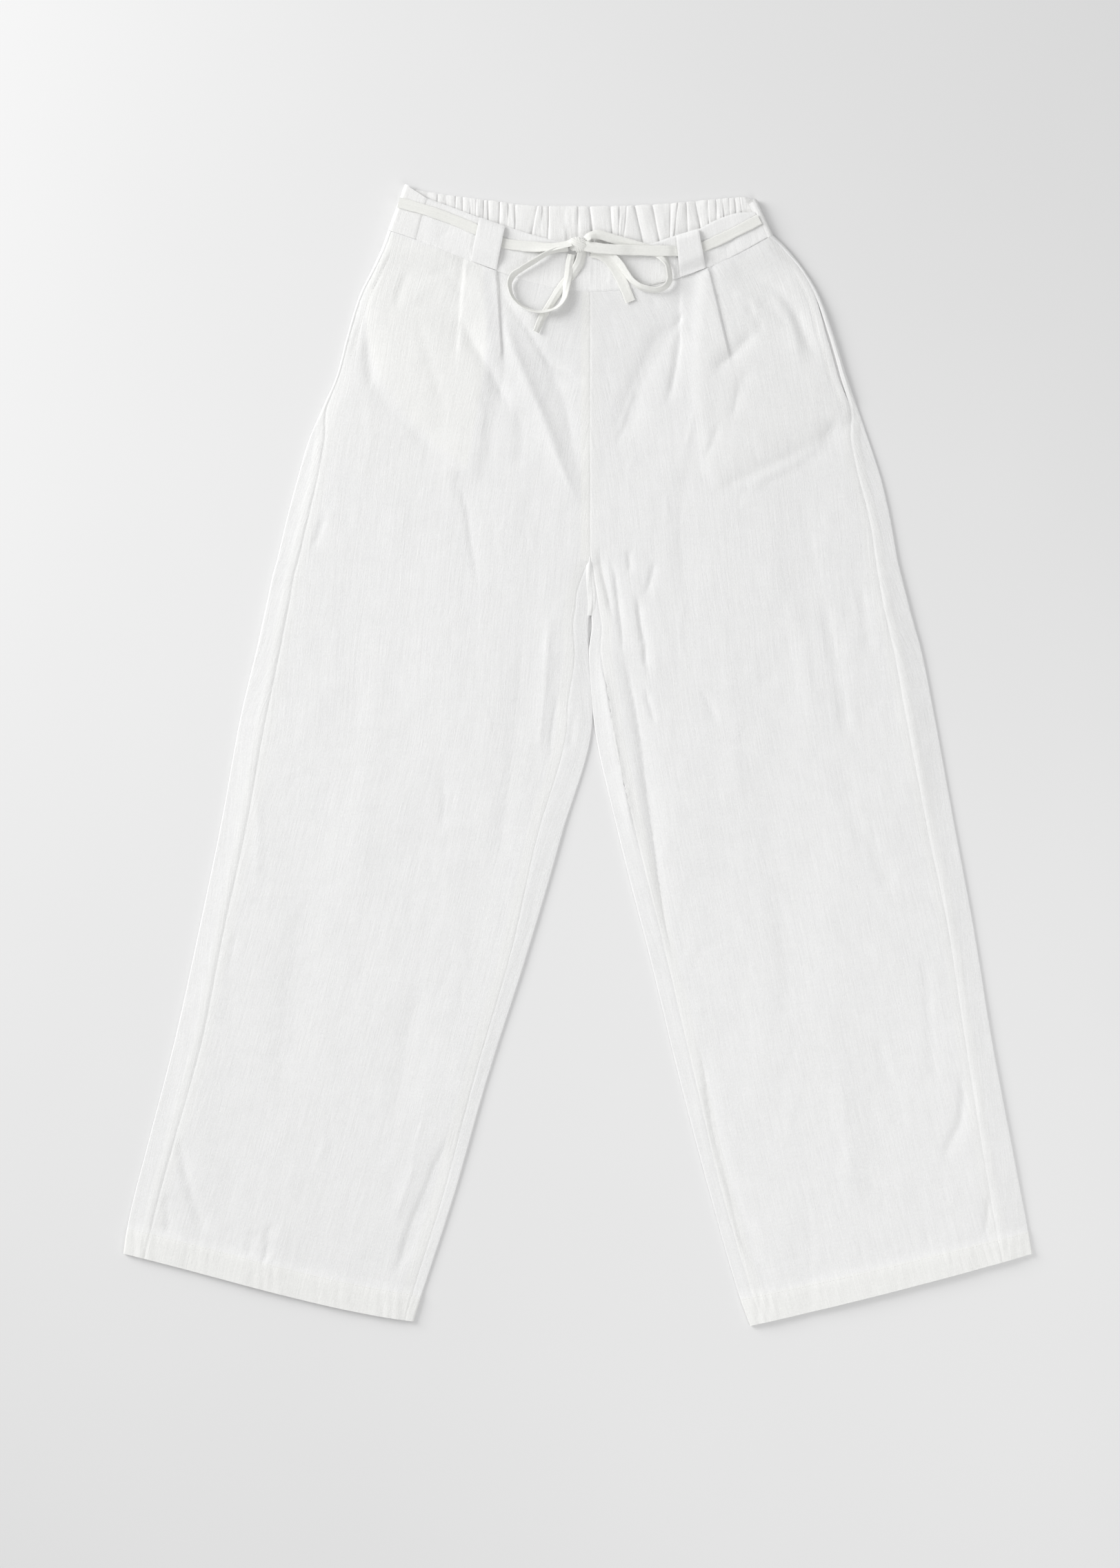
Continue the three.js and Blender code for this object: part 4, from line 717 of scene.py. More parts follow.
FRONT_RELIEF = {
    side: FRONT_CREASES[side] + small_wrinkles(seed, low, high)
    for side, seed, low, high in (
        ("right", 11, (-390, -490), (0, 440)),
        ("left", 23, (20, -490), (390, 440)),
    )
}
HEM_DEPTH = {side: leg_lengths(side)[1] for side in SIDES}


def edge_fall(side, x, y, along):
    """The two layers lie closer together towards the folded edges, and not where the waistband holds them."""
    table = np.array(LEGS[side])
    lengths = leg_lengths(side)
    outer = np.abs(x - curve_through(lengths, table[:, 0], along))
    inner = np.abs(x - curve_through(lengths, table[:, 2], along))
    inner_share = curve_through(lengths, table[:, 7], along)
    closed = smooth(1.5, 0.2, curve_through(lengths, table[:, 6], along))
    fall = closed * bell(outer, EDGE_FALL_REACH) + inner_share * bell(inner, EDGE_FALL_REACH)
    return EDGE_FALL * fall * smooth(WAIST_LIFT_FROM, WAIST_LIFT_FROM - 40, y)


def upper_level(side, x, y, along):
    """Height of the middle of the front's wall."""
    hem = HEM_LIFT * smooth(HEM_DEPTH[side] + 6, HEM_DEPTH[side] - 2, along)
    stitched = HEM_SINK * bell(along - HEM_DEPTH[side], HEM_SINK_WIDTH)
    pucker = HEM_PUCKERS[0] * np.sin(x * 0.42 + 3 * np.sin(x * 0.11))
    pucker += HEM_PUCKERS[1] * np.sin(x * 0.9 + 0.3 * along)
    pucker *= smooth(HEM_DEPTH[side] + 9, HEM_DEPTH[side] - 4, along)
    level = (
        UPPER + hem - stitched + pucker + WAIST_LIFT * smooth(WAIST_LIFT_FROM, WAIST_LIFT_TO, y)
        - edge_fall(side, x, y, along)
        + crease_relief(x, y, FRONT_RELIEF[side]) + washed_waves(x, y, "front")
        + bag_rise(x, y) + tuck_rise(side, x, y)
    )
    clear = level - UPPER_LOWEST
    return UPPER_LOWEST + (clear + np.hypot(clear, UPPER_SOFTENED)) / 2


def wall_normals(middle, flip):
    """Unit normals of a grid of points."""
    normal = np.cross(np.gradient(middle, axis=1), np.gradient(middle, axis=0))
    normal /= np.linalg.norm(normal, axis=2)[:, :, None]
    return -normal if flip else normal


def add_piece(name, mesh, angle, turn_out=False):
    """Put a mesh in the scene as a piece of the one body, smooth but for edges sharper than the angle."""
    piece = bpy.data.objects.new(name, mesh)
    bpy.context.collection.objects.link(piece)
    bpy.context.view_layer.objects.active = piece
    piece.select_set(True)
    if turn_out:
        bpy.ops.object.mode_set(mode="EDIT")
        bpy.ops.mesh.select_all(action="SELECT")
        bpy.ops.mesh.normals_make_consistent(inside=False)
        bpy.ops.object.mode_set(mode="OBJECT")
    bpy.ops.object.shade_smooth_by_angle(angle=math.radians(angle))
    piece.select_set(False)
    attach(piece, "root")
    return piece


def cloth_piece(name, outer, inner, grain, cream_share, material):
    """A closed sheet between two grids of points in the drawing, with its grain as a UV map in metres."""
    rows, columns = outer.shape[:2]
    points = np.concatenate([outer.reshape(-1, 3), inner.reshape(-1, 3)])
    points = (points + (SHIFT_X, SHIFT_Y, 0)) * MM
    number = np.arange(rows * columns).reshape(rows, columns)
    below = number + rows * columns
    a, b, c, d = number[:-1, :-1], number[:-1, 1:], number[1:, 1:], number[1:, :-1]
    e, f, g, h = below[:-1, :-1], below[:-1, 1:], below[1:, 1:], below[1:, :-1]
    faces = [np.stack([a, b, c, d], -1).reshape(-1, 4), np.stack([e, h, g, f], -1).reshape(-1, 4)]
    for rim, deep in (
        (number[0], below[0]), (number[-1][::-1], below[-1][::-1]),
        (number[::-1, 0], below[::-1, 0]), (number[:, -1], below[:, -1]),
    ):
        faces.append(np.stack([rim[1:], rim[:-1], deep[:-1], deep[1:]], -1))
    faces = np.concatenate(faces)
    corner = points[faces]
    volume = np.einsum("ij,ij->i", corner[:, 0], np.cross(corner[:, 1], corner[:, 2])).sum()
    volume += np.einsum("ij,ij->i", corner[:, 0], np.cross(corner[:, 2], corner[:, 3])).sum()
    if volume < 0:
        faces = faces[:, ::-1]
    mesh = bpy.data.meshes.new(name)
    mesh.from_pydata(points.tolist(), [], faces.tolist())
    mesh.materials.append(material)
    uv = mesh.uv_layers.new(name="grain")
    flat = np.concatenate([grain.reshape(-1, 2), grain.reshape(-1, 2)]) * MM
    uv.data.foreach_set("uv", flat[faces.ravel()].ravel())
    cream_attribute = mesh.attributes.new("cream_share", "FLOAT", "POINT")
    cream_attribute.data.foreach_set("value", np.concatenate([cream_share.ravel(), cream_share.ravel()]).astype(np.float32))
    return add_piece(name, mesh, 50)


def edge_columns(parts):
    """Distances across a row from listed stretches: start, end, count, crowding at the start or the end."""
    columns = []
    for start, end, count, crowd in parts:
        share = np.arange(count) / count
        if crowd == "start":
            share = share ** 1.5
        elif crowd == "end":
            share = 1 - (1 - share) ** 1.5
        columns.append(lerp(start, end, share[None, :]))
    columns.append(parts[-1][1])
    return np.concatenate(columns, axis=1)


def edge_shares(count):
    """Shares from nought to one, crowded at both ends."""
    middle = np.full((1, 1), 0.5)
    return edge_columns([(0 * middle, middle, count, "start"), (middle, 2 * middle, count, "end")])


def fold_radius(side, row, distance):
    """Half of what lies between the middles of the two walls, at a distance in from the outer edge."""
    x, y = row_point(row, distance)
    return (upper_level(side, x, y, row["along"] + 0 * x) - LOWER) / 2


def outer_fold(side, row):
    """Radius and centre of the outer folded edge, and the side seam just past it."""
    radius = fold_radius(side, row, np.full_like(row["length"], FOLD_PROBE))
    centre = CLOTH / 2 + radius
    return radius, centre, np.maximum(row["side"] - SEAM_GAP / 2, centre + 0.4)


def tuck_distance(row, tuck):
    """Where a tuck's line crosses each row; below its stitching the share of the row stays."""
    dx = row["inner_x"] - row["outer_x"]
    dy = row["inner_y"] - row["outer_y"]

    def share_of(x, y):
        return ((x - row["outer_x"]) * dx + (y - row["outer_y"]) * dy) / row["length"] ** 2

    row_y = lerp(row["outer_y"], row["inner_y"], share_of(tuck[0], tuck[1]))
    share = np.clip((tuck[1] - row_y) / (tuck[1] - tuck[3]), 0, TUCK_RUN_ON)
    return share_of(lerp(tuck[0], tuck[2], share), lerp(tuck[1], tuck[3], share)) * row["length"]


FRONT_ROWS = 300
BACK_ROWS = 270
TURN_STEPS = 10
UNDER_STEPS = 58
FOLD_PROBE = CLOTH / 2 + 1.5
MOUTH_TUCK = 4.0
MOUTH_DROP = 2.0
ALLOWANCE_SHADE = 0.3
BACK_HIGHEST = 1.1
BACK_UNEVEN = 0.35
TUCK_COLUMNS_WIDE = 11
TUCK_COLUMNS_NARROW = 3.0
CENTRE_SHADES = {"right": 1.0, "left": 0.3}
INSEAM_SHADE = 0.45
CROTCH_LOW = 176
CROTCH_HIGH = 182

# The stitching along each pocket mouth: how far in from the edge, its two ends, and how much it draws the
# cloth in.
POCKET_STITCHES = {
    "right": {"in": 6.5, "low": 366, "high": 457, "pucker": 0.8},
    "left": {"in": 7.0, "low": 313, "high": 440, "pucker": 0.15},
}
STITCH_DIP = 0.5

# The fronts' cloth above the big crease on the right leg gets painted light through this material's creamier
# tone.
linen_material = linen("washed_linen", LINEN_SINGLE, LINEN_DOUBLE_AND_LIT)


def front_grid(side):
    """Points on the middle of a front panel, its grain, and how creamy its cloth looks: doubled, over a
    pocket bag, and with painted light above one crease.
    """
    row = leg_rows(side, np.linspace(0, leg_lengths(side)[-1], FRONT_ROWS))
    seam = outer_fold(side, row)[2] + row["mouth"] + SEWN_GAP
    end = row["length"] - row["inseam"] - SEWN_GAP / 2 + SEAM_GAP * (1 - row["roll"])
    first = tuck_distance(row, TUCKS[side][0])
    second = tuck_distance(row, TUCKS[side][1])
    half = lerp(TUCK_COLUMNS_WIDE, TUCK_COLUMNS_NARROW, smooth(270, 365, row["outer_y"]))
    distance = edge_columns([
        (seam, first - half, 32, "start"),
        (first - half, first + half, 13, ""),
        (first + half, second - half, 12, ""),
        (second - half, second + half, 13, ""),
        (second + half, end, 46, "end"),
    ])
    x, y = row_point(row, distance)
    along = row["along"] + 0 * x
    level = upper_level(side, x, y, along)
    from_side = distance - seam
    from_end = end - distance
    level -= SEAM_DIP * (bell(from_side, SEAM_DIP_WIDTH) + bell(from_end, SEAM_DIP_WIDTH))
    stitches = POCKET_STITCHES[side]
    low = stitches["low"]
    high = stitches["high"]
    held = smooth(low - 3, low + 3, y) * smooth(high + 3, high - 3, y)
    drawn_in = 1 + stitches["pucker"] * np.sin(y * 0.62 + 2.5 * np.sin(y * 0.17))
    level -= STITCH_DIP * held * drawn_in * bell(from_side - stitches["in"], SEAM_DIP_WIDTH)
    level += 0.5 * STITCH_DIP * stitches["pucker"] * held * (drawn_in - 1) * bell(from_side - 4, 5)
    y = y - WAIST_TRIM * (along > row["top"] - 0.5)
    hem = smooth(HEM_DEPTH[side] + 0.6, HEM_DEPTH[side] - 0.6, along)
    at_centre = CENTRE_SHADES[side] * smooth(8.8, 8, from_end) * smooth(CROTCH_LOW, CROTCH_HIGH, y)
    at_inseam = INSEAM_SHADE * smooth(11, 9, from_end) * smooth(CROTCH_HIGH, CROTCH_LOW, y)
    at_side = ALLOWANCE_SHADE * smooth(9, 7, from_side)
    cream_share = np.max([hem, at_centre, at_inseam, at_side], axis=0)
    # Whiter over the pocket bags, and on the right leg also painted light above the big crease.
    for whiter_and_lit, outline in BAG_SHOWS_AND_PAINTED_LIGHT[side]:
        cream_share = np.maximum(cream_share, whiter_and_lit * inside_outline(x, y, outline))
    grain = np.stack([distance - row["length"] / 2 + 200, along], -1)
    return {
        "at": np.stack([x, y, level], -1), "grain": grain, "cream_share": cream_share,
        "hem": hem, "flip": side == "left",
    }


def back_grid(side):
    """The back panel's section at each row: side strip, outer fold, underside, inner fold, inseam strip."""
    row = leg_rows(side, np.linspace(0, leg_lengths(side)[-1], BACK_ROWS))
    radius, centre, seam = outer_fold(side, row)
    inner_radius = fold_radius(side, row, row["length"] - FOLD_PROBE)
    inner_centre = row["length"] - CLOTH / 2 - inner_radius
    flat_to = lerp(row["length"] - 12, inner_centre, row["roll"])
    strip_end = np.minimum(row["length"] - row["inseam"] + SEWN_GAP / 2, inner_centre - 0.2)

    under_front = 0.4 + MOUTH_TUCK * smooth(0.0, 0.6, row["mouth"]) + row["mouth"]
    strip = edge_columns([(seam + under_front, seam, 9, "end"), (seam, centre, 13, "start")])[:, :-1]
    turn = np.pi * (0.5 - np.arange(TURN_STEPS + 1) / TURN_STEPS)[None, :]
    arc = centre - radius * np.cos(turn)
    arc_z = LOWER + radius + radius * np.sin(turn)
    under = edge_columns([(centre, flat_to, UNDER_STEPS, "")])[:, 1:]
    roll_turn = np.pi * (np.arange(1, TURN_STEPS + 1) / TURN_STEPS - 0.5)[None, :]
    inner_arc = inner_centre + inner_radius * np.cos(roll_turn)
    inner_z = LOWER + inner_radius + inner_radius * np.sin(roll_turn)
    inner_strip = edge_columns([(inner_centre, strip_end, 9, "end")])[:, 1:]

    rolled = np.concatenate([inner_arc, inner_strip], axis=1)
    unrolled_share = np.arange(1, rolled.shape[1] + 1)[None, :] / rolled.shape[1]
    unrolled = lerp(flat_to, row["length"] + SEAM_GAP / 2 - SEWN_GAP / 2, unrolled_share)
    tail = lerp(unrolled, rolled, row["roll"])
    distance = np.concatenate([strip, arc, under, tail], axis=1)

    front_x, front_y = row_point(row, distance)
    back_x, back_y = row_point(row, distance, on_back=True)
    along = row["along"] + 0 * distance
    top = upper_level(side, front_x, front_y, along)
    creased = crease_relief(back_x, back_y, BACK_CREASES[side])
    creased += BACK_UNEVEN * washed_waves(back_x, back_y, "back")
    floor_level = LOWER + np.clip(creased, 0, BACK_HIGHEST)

    columns = distance.shape[1]
    arc_from = strip.shape[1]
    under_from = arc_from + arc.shape[1]
    tail_from = under_from + under.shape[1]
    level = np.zeros_like(distance)
    from_side = seam - strip
    ridge = SEAM_RIDGE * smooth(1.0, 2.2, from_side) * smooth(8.5, 7.0, from_side)
    hidden = MOUTH_DROP * smooth(0, 1.5, -from_side)
    level[:, :arc_from] = top[:, :arc_from] - SEAM_DIP * bell(from_side, SEAM_DIP_WIDTH) + ridge - hidden
    level[:, arc_from:under_from] = arc_z
    level[:, under_from:tail_from] = floor_level[:, under_from:tail_from]
    rolled_z = np.concatenate([inner_z, top[:, tail_from + TURN_STEPS:]], axis=1)
    rolled_z -= SEAM_DIP * bell(np.abs(tail - strip_end), SEAM_DIP_WIDTH)
    level[:, tail_from:] = lerp(floor_level[:, tail_from:], rolled_z, smooth(0, 0.45, row["roll"]))

    is_under = np.zeros(columns, bool)
    is_under[under_from:tail_from] = True
    is_under = is_under[None, :] | ((np.arange(columns) >= tail_from)[None, :] & (row["roll"] < 0.5))
    y = np.where(is_under, back_y, front_y) - WAIST_TRIM * (along > row["top"] - 0.5)
    at = np.stack([front_x, y, level], -1)
    steps = np.linalg.norm(np.diff(at, axis=1), axis=2)
    across = np.concatenate([np.zeros((len(at), 1)), np.cumsum(steps, axis=1)], axis=1)
    hem = smooth(HEM_DEPTH[side] + 0.6, HEM_DEPTH[side] - 0.6, along)
    allowance = np.zeros_like(distance)
    allowance[:, :arc_from] = smooth(9, 7.5, from_side)
    cream_share = np.maximum(hem, ALLOWANCE_SHADE * allowance)
    grain = np.stack([across - across[:, -1:] / 2 - 300, along], -1)
    return {"at": at, "grain": grain, "cream_share": cream_share, "hem": hem, "flip": side == "right"}


def cloth_from_grid(name, grid, material):
    """A sheet of linen on a grid, doubled where its hem is turned up inside."""
    normal = wall_normals(grid["at"], grid["flip"])
    outer = grid["at"] + normal * CLOTH / 2
    outer[:, :, 2] = np.maximum(outer[:, :, 2], 0)
    inner = grid["at"] - normal * (SHEET - CLOTH / 2 + HEM_TURN * grid["hem"][:, :, None])
    return cloth_piece(name, outer, inner, grid["grain"], grid["cream_share"], material)


GRIDS = {side: {"front": front_grid(side), "back": back_grid(side)} for side in SIDES}

for side in SIDES:
    piece = cloth_from_grid("linen_front_leg_" + side, GRIDS[side]["front"], linen_material)
    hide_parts("front_leg_" + side)
    piece = cloth_from_grid("linen_back_leg_" + side, GRIDS[side]["back"], linen_material)
    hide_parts("back_leg_" + side)


# Stitching: cotton thread in single lock stitches, each a small raised pad that sinks into the cloth at its
# ends. It holds the hems and the pocket mouths.
STITCH_LENGTH = 2.3
STITCH_GAP = 0.9
STITCH_WIDTH = 0.42
STITCH_HEIGHT = 0.16
STITCH_BELOW = 0.15
STITCH_START = 0.5
# Each stitch's sections: place along it, share of its width, share of its height and how far it is sunk.
STITCH_SECTIONS = [(0, 0.3, 0.2, 0.04), (0.25, 1, 1, 0), (0.75, 1, 1, 0), (1, 0.3, 0.2, 0.04)]
STITCH_CORNERS = (0, 60, 120, 180, 270)
THREAD_COLOUR = (0.86, 0.855, 0.83)
THREAD_SHADED = 0.9


def thread(name):
    """Slightly glossy cotton thread, with its twist as fine ridges across each stitch."""
    material, tree, shader = new_material(name, {"Roughness": 0.7, "Sheen Weight": 0.2})
    place = new_node(tree, "TexCoord", {})
    twist = new_node(tree, "TexNoise", {"Vector": place.outputs["Object"], "Scale": 2600.0}).outputs["Fac"]
    shaded = [THREAD_SHADED * part for part in THREAD_COLOUR]
    tone = new_node(
        tree, "Mix", {"Factor": twist, "A": (*shaded, 1), "B": (*THREAD_COLOUR, 1)}, data_type="RGBA"
    )
    bump = new_node(tree, "Bump", {"Distance": 0.00006, "Height": twist})
    set_inputs(tree, shader, {"Base Color": tone.outputs["Result"], "Normal": bump.outputs["Normal"]})
    return material


thread_material = thread("cotton_thread")


def stitch_row(name, line):
    """One joined mesh of the stitches along a line of points on the cloth, given with their normals."""
    points, normals = line
    length = run_of(points)
    starts = np.arange(STITCH_START, length[-1] - STITCH_LENGTH, STITCH_LENGTH + STITCH_GAP)
    corners = len(STITCH_CORNERS)
    verts = []
    faces = []
    for start in starts:
        ends = [start + STITCH_LENGTH * section[0] for section in STITCH_SECTIONS]
        centre = np.column_stack([np.interp(ends, length, points[:, i]) for i in range(3)])
        normal = np.column_stack([np.interp(ends, length, normals[:, i]) for i in range(3)])
        side = np.cross(normal, centre[-1] - centre[0])
        side /= np.linalg.norm(side, axis=1)[:, None]
        first = len(verts)
        for i, (_, wide, high, sunk) in enumerate(STITCH_SECTIONS):
            for turn in STITCH_CORNERS:
                angle = math.radians(turn)
                out = math.sin(angle) * (STITCH_HEIGHT if turn < 200 else STITCH_BELOW)
                beside = side[i] * math.cos(angle) * STITCH_WIDTH / 2 * wide
                verts.append(centre[i] + beside + normal[i] * (out * high - sunk))
        for i in range(len(STITCH_SECTIONS) - 1):
            for j in range(corners):
                a = first + corners * i + j
                b = first + corners * i + (j + 1) % corners
                faces.append((a, b, b + corners, a + corners))
        faces.append(tuple(first + j for j in reversed(range(corners))))
        faces.append(tuple(first + corners * (len(STITCH_SECTIONS) - 1) + j for j in range(corners)))
    verts = (np.array(verts) + (SHIFT_X, SHIFT_Y, 0)) * MM
    mesh = bpy.data.meshes.new(name)
    mesh.from_pydata(verts.tolist(), [], faces)
    mesh.materials.append(thread_material)
    return add_piece(name, mesh, 70, turn_out=True)


def line_across(grid, along, part):
    """Surface points and normals across a grid's row at a distance from the hem, for a range of columns."""
    rows = grid["grain"][:, 0, 1]
    i = int(np.clip(np.searchsorted(rows, along) - 1, 0, len(rows) - 2))
    share = (along - rows[i]) / (rows[i + 1] - rows[i])
    normal = wall_normals(grid["at"], grid["flip"])
    top = grid["at"] + normal * CLOTH / 2
    top[:, :, 2] = np.maximum(top[:, :, 2], STITCH_HEIGHT)
    return lerp(top[i, part], top[i + 1, part], share), lerp(normal[i, part], normal[i + 1, part], share)


def line_along(grid, from_edge, low_y, high_y):
    """Surface points and normals at a distance in from a front panel's side seam, between two heights."""
    normal = wall_normals(grid["at"], grid["flip"])
    top = grid["at"] + normal * CLOTH / 2
    points = []
    normals = []
    for row, row_normal in zip(top, normal):
        in_from = run_of(row[:, :2])
        point = np.array([np.interp(from_edge, in_from, row[:, i]) for i in range(3)])
        if low_y <= point[1] <= high_y:
            points.append(point)
            normals.append([np.interp(from_edge, in_from, row_normal[:, i]) for i in range(3)])
    return np.array(points), np.array(normals)


HEM_STITCH_IN = 1.0

for side in SIDES:
    front, back = GRIDS[side]["front"], GRIDS[side]["back"]
    at_hem = HEM_DEPTH[side] - HEM_STITCH_IN
    stitch_row("hem_stitching_front_" + side, line_across(front, at_hem, slice(None)))
    stitch_row("hem_stitching_back_" + side, line_across(back, at_hem, slice(None)))
    place = POCKET_STITCHES[side]
    pocket_line = line_along(front, place["in"], place["low"], place["high"])
    stitch_row("pocket_stitching_" + side, pocket_line)
    at_end = np.interp(place["low"], front["at"][:, 0, 1], front["grain"][:, 0, 1])
    stitch_row("pocket_bar_" + side, line_across(front, at_end, slice(0, 6)))


# Crotch fold: where the four panels meet, the ends of their seams are turned over and show as a small folded
# tab between the legs, sewn in at the centre seam. Its middle line, half width and height.
CROTCH_FOLD = [
    (10.8, 182.0, 2.0, 3.6), (10.5, 175.5, 3.2, 3.5), (10.8, 166.0, 4.4, 3.0), (11.6, 155.5, 5.2, 2.85),
    (12.4, 145.8, 5.8, 2.85), (12.2, 136.5, 5.4, 2.75), (11.2, 128.5, 4.4, 2.5),
]
FOLD_SHEET = 0.5
FOLD_EDGE = 1.9
FOLD_RIPPLE = 0.2
FOLD_GROOVE = 0.4
FOLD_SHADE = 0.4

line = path_through(CROTCH_FOLD, 8)
share = np.linspace(-1, 1, 21)[None, :]
run = np.linspace(0, 1, len(line))[:, None]
across = share * line[:, 2:3]
level = FOLD_EDGE + (line[:, 3:4] - FOLD_EDGE) * np.cos(share * math.pi / 2)
level += FOLD_RIPPLE * np.sin(3.4 * share + 9 * run) * (1 - share ** 2)
level -= FOLD_GROOVE * bell(share - 0.3, 0.12) * run
at = np.stack([line[:, 0:1] + across, line[:, 1:2] + 0 * across, level], -1)
normal = wall_normals(at, False)
normal *= np.sign(normal[:, :, 2:3].mean())
grain = np.stack([across, line[:, 1:2] + 0 * across], -1)
fold = cloth_piece(
    "linen_crotch_fold", at + normal * FOLD_SHEET / 2, at - normal * FOLD_SHEET / 2, grain,
    FOLD_SHADE + 0 * across, linen_material,
)


# Pocket bags: one layer of the linen in each side pocket, between the front and the back of the leg.
BAG_LEVEL = CLOTH + 0.8
BAG_SHEET = 0.6
BAG_UNEVEN = 0.12

for side in SIDES:
    rows = np.array(POCKET_BAGS[side][::-1], float)
    height = np.linspace(rows[0, 0], rows[-1, 0], 60)
    outer = curve_through(rows[:, 0], rows[:, 1], height)[:, None]
    inner = curve_through(rows[:, 0], rows[:, 2], height)[:, None]
    share = np.linspace(0, 1, 28)[None, :]
    x = lerp(outer, inner, share)
    y = height[:, None] + 0 * x
    level = BAG_LEVEL + BAG_UNEVEN * washed_waves(x, y, "bag")
    at = np.stack([x, y, level], -1)
    normal = wall_normals(at, side == "left")
    grain = np.stack([x, y], -1)
    piece = cloth_piece(
        "linen_pocket_bag_" + side, at + normal * BAG_SHEET / 2, at - normal * BAG_SHEET / 2, grain,
        np.zeros_like(x), linen_material,
    )
    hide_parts("pocket_bag_" + side)


# Front waistband: a flat band of linen over a facing, sewn to the front panels along the waist seam. Its top
# edge is the fold between band and facing, and it dips towards the centre.
BAND_CLOTH = 1.8
BAND_BACKING = 0.5
BAND_UNEVEN = 0.4
BAND_PUCKER = 0.10
FRONT_BAND = [
    ("right", 0.14, -137, 508), ("right", 0.27, -113, 499.5), ("right", 0.4, -90.5, 491),
    ("right", 0.54, -66.5, 483), ("right", 0.7, -39, 474.5), ("right", 0.86, -12, 468),
    ("right", 1, 10.5, 466), ("left", 0.86, 37, 465.5), ("left", 0.7, 64, 467), ("left", 0.54, 89, 474.5),
    ("left", 0.4, 109, 480), ("left", 0.27, 127, 489), ("left", 0.14, 146, 495), ("left", 0.03, 161, 496),
]
BAND_COLOUR = (0.925, 0.924, 0.918)
BAND_CREASES = [
    ([(-128, 470), (-120, 478), (-108, 480)], -0.35, 5, 0.3),
    ([(-50, 440), (-46, 452), (-44, 464)], -0.3, 5, 0),
    ([(28, 428), (30, 440), (30, 456)], 0.35, 3, 0),
    ([(10, 428), (11, 445), (11, 460)], 0.35, 2.5, 0),
    ([(132, 458), (140, 470), (146, 482)], -0.35, 6, 0.3),
    ([(-12, 430), (-14, 442), (-12, 455)], -0.25, 5, 0),
]
band_material = linen("faced_linen", LINEN_SINGLE, BAND_COLOUR)


def side_of(x):
    """Which leg's front lies at each x."""
    return np.where(x < LEGS["left"][-1][2], "right", "left")


def waist_line(on_back, steps=70):
    """The waist seam from the right fold to the left one, on the front or on the back."""
    points = []
    for side in SIDES:
        row = WAIST_ROWS[side]
        distance = np.linspace(0, 1, steps)[None, :] * row["length"]
        x, y = row_point(row, distance, on_back)
        ends = np.column_stack([x[0], y[0]])
        points.append(ends if side == "right" else ends[::-1][1:])
    return np.concatenate(points)


FRONT_SEAM = waist_line(False)
BACK_SEAM = waist_line(True)


def band_level(x, y):
    """Height of the middle of the front waistband."""
    lift = WAIST_LIFT * smooth(WAIST_LIFT_FROM, WAIST_LIFT_TO, y)
    return UPPER + lift + (BAND_CLOTH - CLOTH) / 2 + 0.3 * bag_rise(x, y)


def front_band_grid():
    """The front waistband's middle, with its two long edges rounded off."""
    bottoms = []
    for side, share, _, _ in FRONT_BAND:
        row = WAIST_ROWS[side]
        x, y = row_point(row, share * row["length"])
        bottoms.append((x[0, 0], y[0, 0]))
    stations = np.column_stack([bottoms, [station[2:] for station in FRONT_BAND]])
    line = path_through(stations, 22)
    share = edge_shares(14)[0]
    x = lerp(line[:, 0], line[:, 2], share[:, None])
    y = lerp(line[:, 1] + 0.1, line[:, 3], share[:, None])
    width = np.hypot(line[:, 2] - line[:, 0], line[:, 3] - line[:, 1])
    from_bottom = share[:, None] * width
    from_top = (1 - share[:, None]) * width
    level = band_level(x, y) + crease_relief(x, y, BAND_CREASES) + BAND_UNEVEN * washed_waves(x, y, "band")
    level += BAND_PUCKER * np.sin(x * 0.9 + 2 * np.sin(x * 0.2)) * np.exp(-from_bottom / 4)
    level -= 0.5 * bell(from_bottom, 0.7) + 0.6 * bell(from_top, 0.8)
    grain = np.stack([run_of(line[:, :2])[None, :] + 0 * x, from_bottom], -1)
    return np.stack([x, y, level], -1), grain


at, grain = front_band_grid()
normal = wall_normals(at, False)
piece = cloth_piece(
    "linen_waistband_front", at + normal * BAND_CLOTH / 2, at - normal * BAND_BACKING, grain,
    np.ones(at.shape[:2]), band_material,
)
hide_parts("waistband_front")


# Back waistband: a linen casing gathered on a wide elastic. It wraps round both side folds to the front
# band's ends, and its inner face shows above the dipped front in soft tubes with narrow dark valleys.
ELASTIC_CLOTH = 2.0
GATHER_RISE = 2.2
GATHER_SPREAD = 1.3
VALLEY_THINNED = 0.75
CASING_UNEVEN = 0.3
# The tubes between the valleys: the power that flattens their tops, the width from which they rise in full
# and the power by which narrower ones stay lower, their fine wrinkles, and how far they wander.
TUBE_FLAT = 0.36
TUBE_WIDE = 8
TUBE_NARROWS = 0.6
TUBE_WRINKLE = 0.05
TUBE_WANDER = 0.5
BAND_TUCK = 4.0
BAND_DROP = 1.4
BACK_BAND = [
    (-158, 521.5), (-142, 516), (-108, 511), (-81, 507.5), (-39, 502.5), (14, 502), (65, 503.5),
    (125, 508.5), (152, 510.5), (163, 507),
]
BAND_WRAPS = {
    "right": {"top": 24.3, "bottom": 27, "fold": (-158, 521.5), "seam": (-137.5, 508.3)},
    "left": {"top": 4.8, "bottom": 4.8, "fold": (163, 507), "seam": (158.8, 505)},
}
